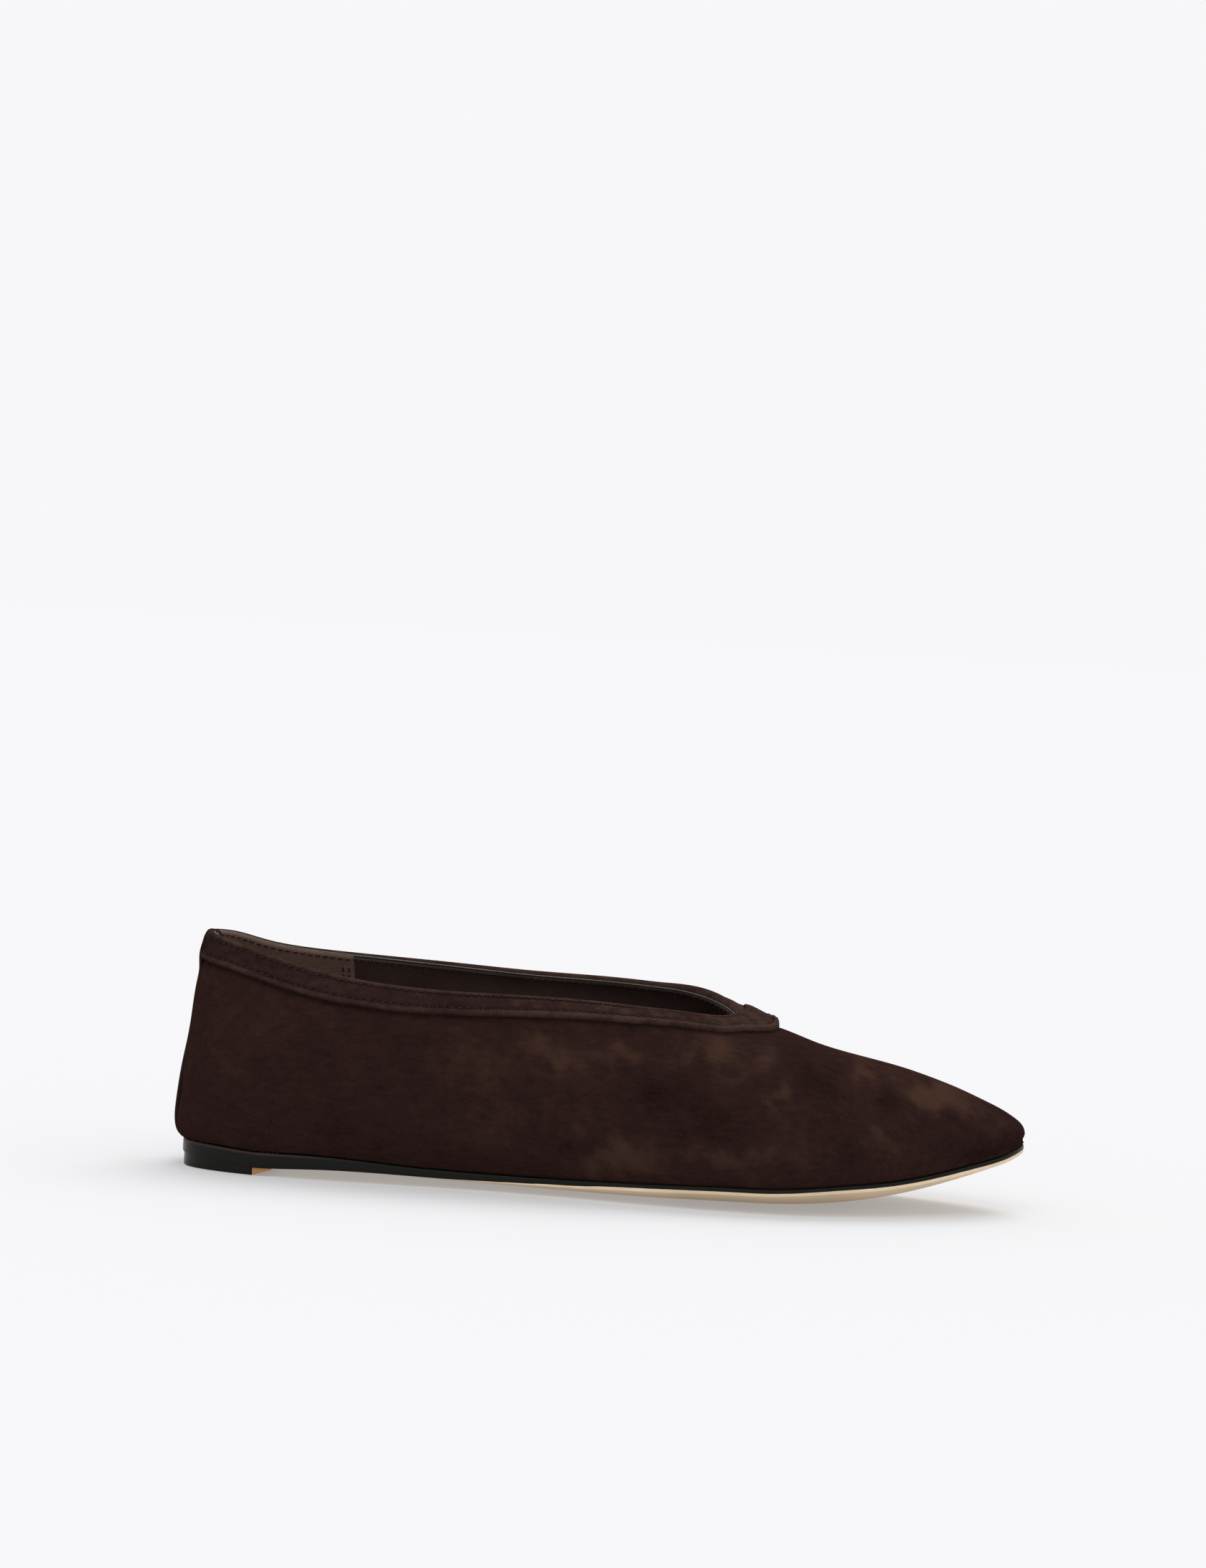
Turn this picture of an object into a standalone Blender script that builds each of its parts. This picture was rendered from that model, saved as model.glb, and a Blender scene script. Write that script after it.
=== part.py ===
"""A soft suede ballet flat for the right foot, standing empty on its sole.

The toe points along +X, the outer side of the foot along -Y, and the floor is z = 0.
Places run along a loop round the shoe: a place below 0 is on the outer side, 0 is the centre
back, above 0 is the inner side, and both ends of the loop meet at the tip of the toe.
"""

from collections import namedtuple

import bmesh
import bpy
import numpy as np

# Driving dimensions of the shoe, in metres.
LENGTH = 0.2555
BALL_WIDTH = 0.079
HEEL_WIDTH = 0.054
OPENING_WIDTH = 0.0564
BACK_HEIGHT = 0.0700
APEX_HEIGHT = 0.0540
TOE_TOP_HEIGHT = 0.0333
TOE_SPRING = 0.0186
TOE_BIAS = 0.0075

# The wall of suede and lining, and what is laid on it.
WALL = 0.0020
BAND_WIDTH = 0.0084
BAND_THICKNESS = 0.0010
STRIP_WIDTH = 0.0045
STRIP_THICKNESS = 0.0009
STRIP_TURN_IN = 0.0030

# The sole, the lift under the heel and the insole.
SOLE_EDGE = 0.0024
EDGE_RISE = 0.0072
LIFT_BACK = 0.0037
LIFT_FRONT = 0.0019
LIFT_TIP = 0.0005
LIFT_INSET = 0.0006
BREAST_PLACE = 0.0272
SKIVE_LENGTH = 0.0055
INSOLE_THICKNESS = 0.0016

# The clearance between two pieces that touch, and that of the band on the curved wall.
GAP = 0.0003
BAND_GAP = 0.0004

# Where the tread lies flat on the floor, as shares of the length and of the half width.
TREAD_BACK = 0.585
TREAD_FRONT = 0.700
TREAD_HALF = 0.20

# How fast the tread falls off: up to the toe, from the breast, and out to the edge.
TOE_POWER = 2.15
WAIST_POWER = 1.5
EDGE_POWER = 1.7

# How blunt the tab of the band is: 1 gives it straight sides.
TAB_POWER = 0.4

# How late the sections turn from the level to the slope of the ridge.
THROAT_BLEND = 4.0

# The first and last place of the sole's middle line, as shares of the length.
SPINE_BACK = 0.095
SPINE_FRONT = 0.915

# The foot of each section of the wall, from the centre back to the tip of the toe: its place
# along the length, the width that its two sides are shares of, how far the sole's edge
# climbs there as a share of EDGE_RISE, and the lean in degrees and the pull of the wall.
Foot = namedtuple("Foot", "along width outer inner rise lean pull")
FOOT_ROWS = (
    Foot(0.0115, HEEL_WIDTH, 0.000, 0.000, 0.00, 8, 0.12),
    Foot(0.0205, HEEL_WIDTH, 0.220, 0.220, 0.00, 14, 0.14),
    Foot(0.0510, HEEL_WIDTH, 0.356, 0.356, 0.00, 27, 0.20),
    Foot(0.1020, HEEL_WIDTH, 0.454, 0.454, 0.00, 46, 0.22),
    Foot(0.1800, HEEL_WIDTH, 0.509, 0.491, 0.20, 48, 0.24),
    Foot(0.3000, HEEL_WIDTH, 0.500, 0.430, 0.29, 53, 0.25),
    Foot(0.4000, BALL_WIDTH, 0.348, 0.250, 0.32, 55, 0.27),
    Foot(0.5000, BALL_WIDTH, 0.405, 0.270, 0.45, 57, 0.28),
    Foot(0.5700, BALL_WIDTH, 0.456, 0.336, 0.58, 58, 0.29),
    Foot(0.6300, BALL_WIDTH, 0.488, 0.414, 0.68, 59, 0.30),
    Foot(0.6700, BALL_WIDTH, 0.498, 0.458, 0.72, 60, 0.32),
    Foot(0.7000, BALL_WIDTH, 0.500, 0.483, 0.74, 61, 0.33),
    Foot(0.7350, BALL_WIDTH, 0.490, 0.502, 0.785, 62, 0.35),
    Foot(0.7900, BALL_WIDTH, 0.440, 0.492, 0.80, 64, 0.36),
    Foot(0.8450, BALL_WIDTH, 0.356, 0.440, 0.635, 67, 0.37),
    Foot(0.9000, BALL_WIDTH, 0.252, 0.362, 0.45, 71, 0.38),
    Foot(0.9480, BALL_WIDTH, 0.140, 0.280, 0.22, 76, 0.38),
    Foot(0.9830, BALL_WIDTH, 0.020, 0.190, 0.00, 82, 0.36),
    Foot(0.9980, BALL_WIDTH, -0.095, 0.095, 0.00, 88, 0.35),
)

# The edge of the opening, from the centre back to the point of the throat: its place along
# the length, its two sides as shares of OPENING_WIDTH, its two heights as shares of the climb
# from the throat to the back, the lean and pull of the wall, and the depth of the band.
Top = namedtuple("Top", "along outer inner high_outer high_inner lean pull band")
TOP_ROWS = (
    Top(0.0325, 0.000, 0.000, 1.000, 1.000, 86, 0.40, 1.00),
    Top(0.0375, 0.124, 0.124, 0.980, 0.985, 83, 0.40, 1.00),
    Top(0.0560, 0.222, 0.222, 0.910, 0.930, 76, 0.39, 1.00),
    Top(0.0920, 0.301, 0.301, 0.765, 0.775, 74, 0.39, 1.00),
    Top(0.1650, 0.391, 0.391, 0.480, 0.640, 67, 0.34, 1.00),
    Top(0.3000, 0.460, 0.460, 0.255, 0.560, 48, 0.26, 0.93),
    Top(0.4000, 0.475, 0.475, 0.250, 0.500, 38, 0.25, 0.86),
    Top(0.4900, 0.462, 0.462, 0.225, 0.460, 31, 0.26, 0.82),
    Top(0.5500, 0.415, 0.415, 0.160, 0.380, 26, 0.29, 0.83),
    Top(0.6050, 0.305, 0.305, 0.075, 0.305, 20, 0.34, 0.92),
    Top(0.6400, 0.155, 0.155, 0.000, 0.165, 13, 0.41, 1.24),
    Top(0.6600, 0.000, 0.000, 0.000, 0.000, 4, 0.46, 1.74),
)

# The ridge of the vamp, from the point of the throat to where the toe turns down: its place
# along the length, its height as a share of the drop from the throat to the toe, its shift
# to the inner side as a share of TOE_BIAS, and the pull of the wall.
Ridge = namedtuple("Ridge", "along high shift pull")
RIDGE_ROWS = (
    Ridge(0.660, 1.000, 0.00, 0.46),
    Ridge(0.703, 0.872, 0.05, 0.43),
    Ridge(0.750, 0.680, 0.18, 0.42),
    Ridge(0.805, 0.520, 0.38, 0.41),
    Ridge(0.855, 0.380, 0.58, 0.43),
    Ridge(0.900, 0.210, 0.78, 0.45),
    Ridge(0.926, 0.090, 0.92, 0.45),
    Ridge(0.943, 0.000, 1.00, 0.45),
)
THROAT_ROW = len(TOP_ROWS) - 1
TAB_ROW = THROAT_ROW + 1

# The thickness of the sole along its length, as shares of SOLE_EDGE.
SoleDepth = namedtuple("SoleDepth", "along thick")
SOLE_ROWS = (
    SoleDepth(0.00, 1.60),
    SoleDepth(0.09, 1.95),
    SoleDepth(0.16, 1.78),
    SoleDepth(0.27, 1.15),
    SoleDepth(0.40, 0.96),
    SoleDepth(0.70, 0.88),
    SoleDepth(0.90, 0.93),
    SoleDepth(1.00, 1.00),
)

# How finely the pieces are made. The wall's top rows lie under the band's own rows.
STEPS_PER_ROW = 2
WALL_STEPS = 10
BAND_STEPS = 3
COLLAR_LEAST = 0.0015
COLLAR_SHARE = 0.2
SOLE_RINGS = (0.0, 0.10, 0.28, 0.52, 1.0 - TREAD_HALF, 1.0)
LIFT_RINGS = (0.0, 0.5, 1.0)
LIFT_STEPS = 8
STRIP_STEPS = 11
SAMPLES = 60
FINE_SAMPLES = 240
SHARP_ANGLE = 40.0

# Steps small enough to read a slope with, where the tab's sides are trimmed, and the weld.
TINY = 1e-5
SMALL = 1e-4
TAB_TRIM = 2e-4
WELD = 1e-6


def spline(knots, values, at):
    """Read a natural cubic spline through values at knots, at the places at."""
    knots = np.asarray(knots, float)
    values = np.asarray(values, float)
    at = np.asarray(at, float)
    step = np.diff(knots)
    slope = np.diff(values, axis=0) / step[:, None]
    count = len(knots)
    matrix = np.eye(count)
    right = np.zeros_like(values)
    for row in range(1, count - 1):
        matrix[row, row - 1] = step[row - 1]
        matrix[row, row] = 2.0 * (step[row - 1] + step[row])
        matrix[row, row + 1] = step[row]
        right[row] = 6.0 * (slope[row] - slope[row - 1])
    bend = np.linalg.solve(matrix, right)
    cell = np.clip(np.searchsorted(knots, at) - 1, 0, count - 2)
    width = step[cell][:, None]
    after = (at - knots[cell])[:, None]
    before = width - after
    curved = (bend[cell] * before ** 3 + bend[cell + 1] * after ** 3) / (6.0 * width)
    low = (values[cell] / width - bend[cell] * width / 6.0) * before
    high = (values[cell + 1] / width - bend[cell + 1] * width / 6.0) * after
    return curved + low + high


def foot_values(side):
    """List the foot rows of one side: x, y, rise, lean and pull. The outer side is -1."""
    rows = []
    for row in FOOT_ROWS:
        across = row.outer if side < 0 else row.inner
        rows.append((row.along * LENGTH, side * across * row.width, row.rise, row.lean, row.pull))
    return np.array(rows)


def row_places():
    """Give each row its place on the loop: the mean run of both sides of the sole's outline."""
    runs = []
    for side in (-1, 1):
        plan = foot_values(side)[:, :2]
        runs.append(np.linalg.norm(np.diff(plan, axis=0), axis=1))
    return np.concatenate(([0.0], np.cumsum(np.mean(runs, axis=0))))


PLACES = row_places()
TIP = PLACES[-1]
THROAT = PLACES[THROAT_ROW]
TAB = PLACES[TAB_ROW]


def foot_at(places):
    """Read the foot line on the loop, which closes smoothly over the tip of the toe."""
    outer, inner = foot_values(-1), foot_values(1)
    overlap = slice(-4, -1)
    knots = np.concatenate((
        (PLACES[overlap] - 2.0 * TIP),
        -PLACES[:0:-1],
        PLACES,
        (2.0 * TIP - PLACES[overlap])[::-1],
    ))
    values = np.concatenate((inner[overlap], outer[:0:-1], inner, outer[overlap][::-1]))
    return spline(knots, values, places)


def tread_height(x):
    """Give the height of the sole's underside on its middle line, at each x."""
    breast = BREAST_PLACE
    tread_back = TREAD_BACK * LENGTH
    tread_front = TREAD_FRONT * LENGTH
    slope = (LIFT_FRONT - LIFT_BACK) / (breast - FOOT_ROWS[0].along * LENGTH)
    heel = LIFT_FRONT + GAP + slope * (x - breast)
    waist_share = np.clip((tread_back - x) / (tread_back - breast), 0.0, 1.0)
    waist = (LIFT_FRONT + GAP) * waist_share ** WAIST_POWER
    toe_share = np.clip((x - tread_front) / (LENGTH - tread_front), 0.0, None)
    return np.where(x < breast, heel, waist) + TOE_SPRING * toe_share ** TOE_POWER


def sole_depth(x):
    """Give the thickness of the sole at each x."""
    rows = np.array(SOLE_ROWS)
    thick = spline(rows[:, 0] * LENGTH, rows[:, 1:] * SOLE_EDGE, np.ravel(x))
    return thick.reshape(np.shape(x))


def edge_climb(ring):
    """Give the share of the edge's climb at a ring, from 1 at the edge to 0 on the tread."""
    return np.clip(1.0 - ring / (1.0 - TREAD_HALF), 0.0, 1.0) ** EDGE_POWER


def foot_line(places):
    """Place the foot of the wall, just above the edge of the sole, and give its lean and pull."""
    values = foot_at(places)
    x, y, rise = values[:, 0], values[:, 1], values[:, 2]
    height = tread_height(x) + EDGE_RISE * rise + sole_depth(x) + GAP
    return np.stack((x, y, height), axis=1), values[:, 3], values[:, 4]


def outward(places):
    """Give the level direction that points out of the sole's outline at each place."""
    ahead = foot_at(places + TINY)[:, :2]
    behind = foot_at(places - TINY)[:, :2]
    run = ahead - behind
    run /= np.linalg.norm(run, axis=1)[:, None]
    return np.stack((-run[:, 1], run[:, 0], np.zeros(len(run))), axis=1)


def topline_rows(side):
    """List the rows of the opening's edge of one side: x, y, z, lean, pull and band depth."""
    climb = BACK_HEIGHT - APEX_HEIGHT
    rows = []
    for row in TOP_ROWS:
        across = row.outer if side < 0 else row.inner
        high = row.high_outer if side < 0 else row.high_inner
        x = row.along * LENGTH
        y = side * across * OPENING_WIDTH
        rows.append((x, y, APEX_HEIGHT + high * climb, row.lean, row.pull, row.band))
    return np.array(rows)


def ridge_at(places):
    """Read the ridge of the vamp at places beyond the throat: x, y, z and pull."""
    rows = np.array(RIDGE_ROWS)
    height = TOE_TOP_HEIGHT + rows[:, 1] * (APEX_HEIGHT - TOE_TOP_HEIGHT)
    values = np.stack((rows[:, 0] * LENGTH, rows[:, 2] * TOE_BIAS, height, rows[:, 3]), axis=1)
    return spline(PLACES[THROAT_ROW:], values, places)


def top_line(places):
    """Place the top of the wall, on the opening's edge or on the ridge.

    Also give the direction ahead along the ridge, and the wall's lean, pull and band depth.
    """
    outer, inner = topline_rows(-1), topline_rows(1)
    knots = np.concatenate((-PLACES[THROAT_ROW:0:-1], PLACES[:THROAT_ROW + 1]))
    values = np.concatenate((outer[:0:-1], inner))
    edge = spline(knots, values, np.clip(places, -THROAT, THROAT))
    beyond = np.clip(np.abs(places), THROAT, TIP)
    ridge = ridge_at(beyond)
    forward = ridge_at(beyond)[:, :3] - ridge_at(beyond - TINY)[:, :3]
    forward /= np.linalg.norm(forward, axis=1)[:, None]
    on_ridge = np.abs(places) > THROAT
    point = np.where(on_ridge[:, None], ridge[:, :3], edge[:, :3])
    blend = np.clip(np.abs(places) / THROAT, 0.0, 1.0)[:, None] ** THROAT_BLEND
    ahead = np.array((1.0, 0.0, 0.0)) * (1.0 - blend) + forward * blend
    pull = np.where(on_ridge, ridge[:, 3], edge[:, 4])
    tab_share = np.clip((TAB - beyond) / (TAB - THROAT), 0.0, 1.0)
    lean = np.where(on_ridge, TOP_ROWS[-1].lean * tab_share, edge[:, 3])
    band = np.where(on_ridge, TOP_ROWS[-1].band * tab_share ** TAB_POWER, edge[:, 5])
    return point, ahead, lean, pull, band * BAND_WIDTH


def wall_curves(places):
    """Sample each section of the wall from its foot to its top, as one cubic curve."""
    foot, foot_lean, foot_pull = foot_line(places)
    top, ahead, top_lean, top_pull, _ = top_line(places)
    out = outward(places)
    up = np.array((0.0, 0.0, 1.0))
    reach = np.linalg.norm(top - foot, axis=1)[:, None]
    foot_angle = np.radians(foot_lean)[:, None]
    top_angle = np.radians(top_lean)[:, None]
    sideways = out * np.array((0.0, 1.0, 0.0))
    level = out[:, :1] * ahead + sideways
    from_foot = np.cos(foot_angle) * out + np.sin(foot_angle) * up
    from_top = np.cos(top_angle) * level - np.sin(top_angle) * up
    low = foot + from_foot * foot_pull[:, None] * reach
    high = top + from_top * top_pull[:, None] * reach
    share = np.linspace(0.0, 1.0, SAMPLES + 1)[None, :, None]
    rest = 1.0 - share
    curve = rest ** 3 * foot[:, None] + 3.0 * rest ** 2 * share * low[:, None]
    return curve + 3.0 * rest * share ** 2 * high[:, None] + share ** 3 * top[:, None]


def section_length(places):
    """Measure each section of the wall along its curve."""
    return np.linalg.norm(np.diff(wall_curves(places), axis=1), axis=2).sum(axis=1)


def wall_at(places, depths):
    """Find the wall's outer side, where each depth is measured down the section from its top.

    A depth below 0 lies above the edge, straight on from the section's end.
    """
    curves = wall_curves(places)[:, ::-1]
    found = np.empty((len(places), 3))
    for number, (curve, depth) in enumerate(zip(curves, depths)):
        run = np.concatenate(([0.0], np.cumsum(np.linalg.norm(np.diff(curve, axis=0), axis=1))))
        for axis in range(3):
            found[number, axis] = np.interp(depth, run, curve[:, axis])
        above = min(depth, 0.0)
        found[number] += above * (curve[1] - curve[0]) / run[1]
    return found


def wall_offset(places, depths, offsets):
    """Find points that stand off the wall's outer side, outwards where the offset is above 0."""
    places = np.asarray(places, float)
    depths = np.asarray(depths, float)
    run = wall_at(places + SMALL, depths) - wall_at(places - SMALL, depths)
    rise = wall_at(places, depths - SMALL) - wall_at(places, depths + SMALL)
    normal = np.cross(rise, run)
    normal /= np.linalg.norm(normal, axis=1)[:, None]
    return wall_at(places, depths) + normal * np.asarray(offsets, float)[:, None]


def loop_places(last_row):
    """List the places of the columns, from the outer side round the back to the inner side."""
    rows = np.arange(last_row * STEPS_PER_ROW + 1) / STEPS_PER_ROW
    half = np.interp(rows, np.arange(len(PLACES)), PLACES)
    return np.concatenate((-half[:0:-1], half))


def sheet_mesh(name, grid):
    """Make one open sheet from a grid of points, and weld where its edges meet.

    Every cell is split the same way, so that sheets laid on each other keep their gap.
    """
    columns, rows = grid.shape[:2]
    corners = np.arange(columns * rows).reshape(columns, rows)
    lower = np.stack((corners[:-1, :-1], corners[:-1, 1:], corners[1:, 1:]), axis=-1)
    upper = np.stack((corners[:-1, :-1], corners[1:, 1:], corners[1:, :-1]), axis=-1)
    faces = np.concatenate((lower.reshape(-1, 3), upper.reshape(-1, 3)))
    mesh = bpy.data.meshes.new(name)
    mesh.from_pydata(grid.reshape(-1, 3).tolist(), [], faces.tolist())
    work = bmesh.new()
    work.from_mesh(mesh)
    bmesh.ops.remove_doubles(work, verts=work.verts, dist=WELD)
    bmesh.ops.dissolve_degenerate(work, edges=work.edges, dist=WELD)
    work.to_mesh(mesh)
    work.free()
    return mesh


def thicken_down_or_up(mesh, new_height):
    """Extrude a sheet to a second height, given for each of its points, and close it."""
    work = bmesh.new()
    work.from_mesh(mesh)
    made = bmesh.ops.extrude_face_region(work, geom=work.faces[:])
    moved = [item for item in made["geom"] if isinstance(item, bmesh.types.BMVert)]
    for corner in moved:
        corner.co.z = new_height(corner.co.x, corner.co.z)
    bmesh.ops.recalc_face_normals(work, faces=work.faces)
    work.to_mesh(mesh)
    work.free()
    return mesh


def material(name, colour, roughness):
    """Make one plain material."""
    made = bpy.data.materials.new(name)
    made.use_nodes = True
    shader = made.node_tree.nodes["Principled BSDF"]
    shader.inputs["Base Color"].default_value = (*colour, 1.0)
    shader.inputs["Roughness"].default_value = roughness
    shader.inputs["Metallic"].default_value = 0.0
    return made


def add_piece(mesh, finish, collection):
    """Add a mesh to the shoe as a named piece, shaded smooth up to its edges."""
    piece = bpy.data.objects.new(mesh.name, mesh)
    mesh.materials.append(finish)
    mesh.shade_smooth()
    mesh.set_sharp_from_angle(angle=np.radians(SHARP_ANGLE))
    collection.objects.link(piece)
    return piece


def add_wall(piece, thickness, offset):
    """Give an open sheet its wall, inwards where the offset is -1 and outwards where it is 1."""
    solid = piece.modifiers.new("wall", "SOLIDIFY")
    solid.thickness = thickness
    solid.offset = offset
    solid.use_rim = True


def collar_depth(places, lengths):
    """Give the depth of the wall's top rows: the band's, and beyond the tab a share of the wall."""
    beyond = np.clip(np.abs(places) - TAB, COLLAR_LEAST, None)
    return np.maximum(top_line(places)[-1], np.minimum(beyond, COLLAR_SHARE * lengths))


def make_upper(collection):
    """Make the suede wall, open at the collar and underneath."""
    places = loop_places(len(PLACES) - 1)
    lengths = section_length(places)
    collar = collar_depth(places, lengths)
    rows = []
    for share in np.linspace(1.0, 0.0, WALL_STEPS + 1)[:-1]:
        rows.append(wall_at(places, collar + share * (lengths - collar)))
    for share in np.linspace(1.0, 0.0, BAND_STEPS + 1):
        rows.append(wall_at(places, share * collar))
    mesh = sheet_mesh("upper", np.stack(rows, axis=1))
    piece = add_piece(mesh, material("suede", (0.030, 0.016, 0.013), 0.95), collection)
    add_wall(piece, WALL, -1.0)


def make_band(collection):
    """Make the band that follows the opening and ends in a pointed tab on the vamp."""
    places = loop_places(TAB_ROW)[1:-1]
    near_tip = TAB - TAB_TRIM
    places = np.concatenate(([-near_tip], places, [near_tip]))
    depth = top_line(places)[-1]
    rows = []
    for share in np.linspace(1.0, 0.0, BAND_STEPS + 1):
        rows.append(wall_offset(places, share * depth, np.full(len(places), BAND_GAP)))
    crest = np.abs(places) >= THROAT
    rows[-1][crest] = (rows[-1][crest] + rows[-1][::-1][crest]) / 2.0
    mesh = sheet_mesh("topline_band", np.stack(rows, axis=1))
    piece = add_piece(mesh, material("band_suede", (0.026, 0.014, 0.012), 0.95), collection)
    add_wall(piece, BAND_THICKNESS, 1.0)


def strip_path():
    """List the depth and offset of the back strip's inner side, from the sole to the lining.

    It lies on the wall, steps over the band and turns in over the edge of the opening.
    """
    total = section_length(np.zeros(1))[0]
    over_band = BAND_GAP + BAND_THICKNESS + GAP
    inside = -(WALL + GAP)
    climb = np.linspace(total - GAP, BAND_WIDTH + 4.0 * GAP, STRIP_STEPS)
    path = [(depth, GAP) for depth in climb]
    path += [
        (BAND_WIDTH + GAP, over_band),
        (BAND_WIDTH / 2.0, over_band),
        (GAP, over_band),
        (-GAP, over_band - GAP),
        (-2.0 * GAP, GAP),
        (-2.0 * GAP, -WALL + GAP),
        (-GAP, inside),
        (GAP, inside - GAP / 2.0),
        (STRIP_TURN_IN, inside - GAP / 2.0),
    ]
    return np.array(path)


def make_strip(collection):
    """Make the narrow strip that covers the seam up the centre back."""
    path = strip_path()
    depths, offsets = path[:, 0], path[:, 1]
    none = np.zeros(len(path))
    pace = wall_at(none + TINY, depths) - wall_at(none - TINY, depths)
    place_per_metre = 2.0 * TINY / np.linalg.norm(pace, axis=1)
    rows = []
    for share in (-0.5, 0.0, 0.5):
        rows.append(wall_offset(share * STRIP_WIDTH * place_per_metre, depths, offsets))
    mesh = sheet_mesh("back_strip", np.stack(rows, axis=0))
    piece = add_piece(mesh, material("strip_suede", (0.024, 0.013, 0.011), 0.95), collection)
    add_wall(piece, STRIP_THICKNESS, 1.0)


def spine_at(places):
    """Find the middle line of the sole, level with each place, as x and y."""
    first = FOOT_ROWS[0].along
    reach = (SPINE_FRONT - SPINE_BACK) / (1.0 - first)
    x = foot_at(places)[:, 0]
    spine_x = LENGTH * SPINE_BACK + (x - LENGTH * first) * reach
    middle = (foot_at(places)[:, 1] + foot_at(-places)[:, 1]) / 2.0
    return np.stack((spine_x, middle), axis=1)


def sole_sheet(name, places, spine, rings, inset, height):
    """Make a sheet over the sole's plan, from the outline set in by inset to the spine.

    height works out z from x and the height of the sole's underside.
    """
    values = foot_at(places)
    plan = values[:, :2]
    inward = spine - plan
    across = -(inward * outward(places)[:, :2]).sum(axis=1)
    first = inset / across
    columns = []
    for ring in rings:
        share = first + (1.0 - first) * ring
        point = plan + share[:, None] * inward
        under = tread_height(point[:, 0]) + EDGE_RISE * values[:, 2] * edge_climb(share)
        columns.append(np.column_stack((point, height(point[:, 0], under))))
    return sheet_mesh(name, np.stack(columns, axis=1))


def make_outsole(collection):
    """Make the leather sole, convex across the ball and flat where it treads."""
    places = loop_places(len(PLACES) - 1)
    mesh = sole_sheet(
        "outsole", places, spine_at(places), SOLE_RINGS, 0.0, lambda x, under: under
    )
    thicken_down_or_up(mesh, lambda x, z: z + float(sole_depth(np.array([x]))[0]))
    add_piece(mesh, material("sole_leather", (0.42, 0.27, 0.16), 0.55), collection)


def make_insole(collection):
    """Make the insole, which lies on the sole inside the foot of the wall."""
    places = loop_places(len(PLACES) - 1)
    mesh = sole_sheet(
        "insole", places, spine_at(places), SOLE_RINGS, WALL + 2.0 * GAP,
        lambda x, under: under + sole_depth(x) + GAP,
    )
    thicken_down_or_up(mesh, lambda x, z: z + INSOLE_THICKNESS)
    add_piece(mesh, material("insole_leather", (0.16, 0.09, 0.055), 0.7), collection)


def make_heel_lift(collection):
    """Make the wedge under the heel, with a flat foot and a front skived up to the sole."""
    front = BREAST_PLACE + SKIVE_LENGTH
    dense = np.linspace(0.0, TIP / 2.0, FINE_SAMPLES)
    reach = np.interp((BREAST_PLACE, front), foot_at(dense)[:, 0], dense)
    half = np.append(np.linspace(0.0, reach[0], LIFT_STEPS), reach[1])
    places = np.concatenate((-half[:0:-1], half))
    outline_x = foot_at(places)[:, 0]
    middle_x = (BREAST_PLACE + outline_x) / 2.0
    spine_x = np.where(outline_x > BREAST_PLACE, outline_x, middle_x)
    spine = np.stack((spine_x, np.zeros(len(places))), axis=1)
    mesh = sole_sheet(
        "heel_lift", places, spine, LIFT_RINGS, LIFT_INSET, lambda x, under: under - GAP
    )

    def foot_height(x, z):
        """Give the underside: on the floor, then up the skived front."""
        climb = max(0.0, (x - BREAST_PLACE) / SKIVE_LENGTH)
        return climb * (z - LIFT_TIP)

    thicken_down_or_up(mesh, foot_height)
    add_piece(mesh, material("heel_leather", (0.012, 0.010, 0.010), 0.45), collection)


def centre_on_floor(collection):
    """Move every piece so that the shoe's box is centred on the origin, on the floor."""
    bpy.context.view_layer.update()
    graph = bpy.context.evaluated_depsgraph_get()
    corners = []
    for piece in collection.objects:
        solid = piece.evaluated_get(graph)
        corners += [piece.matrix_world @ corner.co for corner in solid.data.vertices]
    corners = np.array(corners)
    middle = (corners.min(axis=0) + corners.max(axis=0)) / 2.0
    for piece in collection.objects:
        piece.location.x = -middle[0]
        piece.location.y = -middle[1]


def main():
    """Clear the scene and build the shoe."""
    for thing in list(bpy.data.objects):
        bpy.data.objects.remove(thing)
    shoe = bpy.data.collections.new("ballet_flat")
    bpy.context.scene.collection.children.link(shoe)
    make_upper(shoe)
    make_band(shoe)
    make_strip(shoe)
    make_outsole(shoe)
    make_heel_lift(shoe)
    make_insole(shoe)
    centre_on_floor(shoe)


main()
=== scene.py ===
"""The looks of a soft suede ballet flat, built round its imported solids.

The toe points along +X, the outer side of the foot along -Y, and the floor is z = 0. Places run
along a loop round the shoe: a place below 0 is on the outer side, 0 is the centre back, above 0
is the inner side, and both ends of the loop meet at the tip of the toe. A depth is measured down
the wall from the edge of the opening, and an offset stands out from the wall's outer side.
"""

import logging
import math
from dataclasses import dataclass, field
from enum import Enum
from typing import Any, NamedTuple, Protocol

import bmesh
import bpy
import numpy as np
from mathutils import Matrix, Vector


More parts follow.
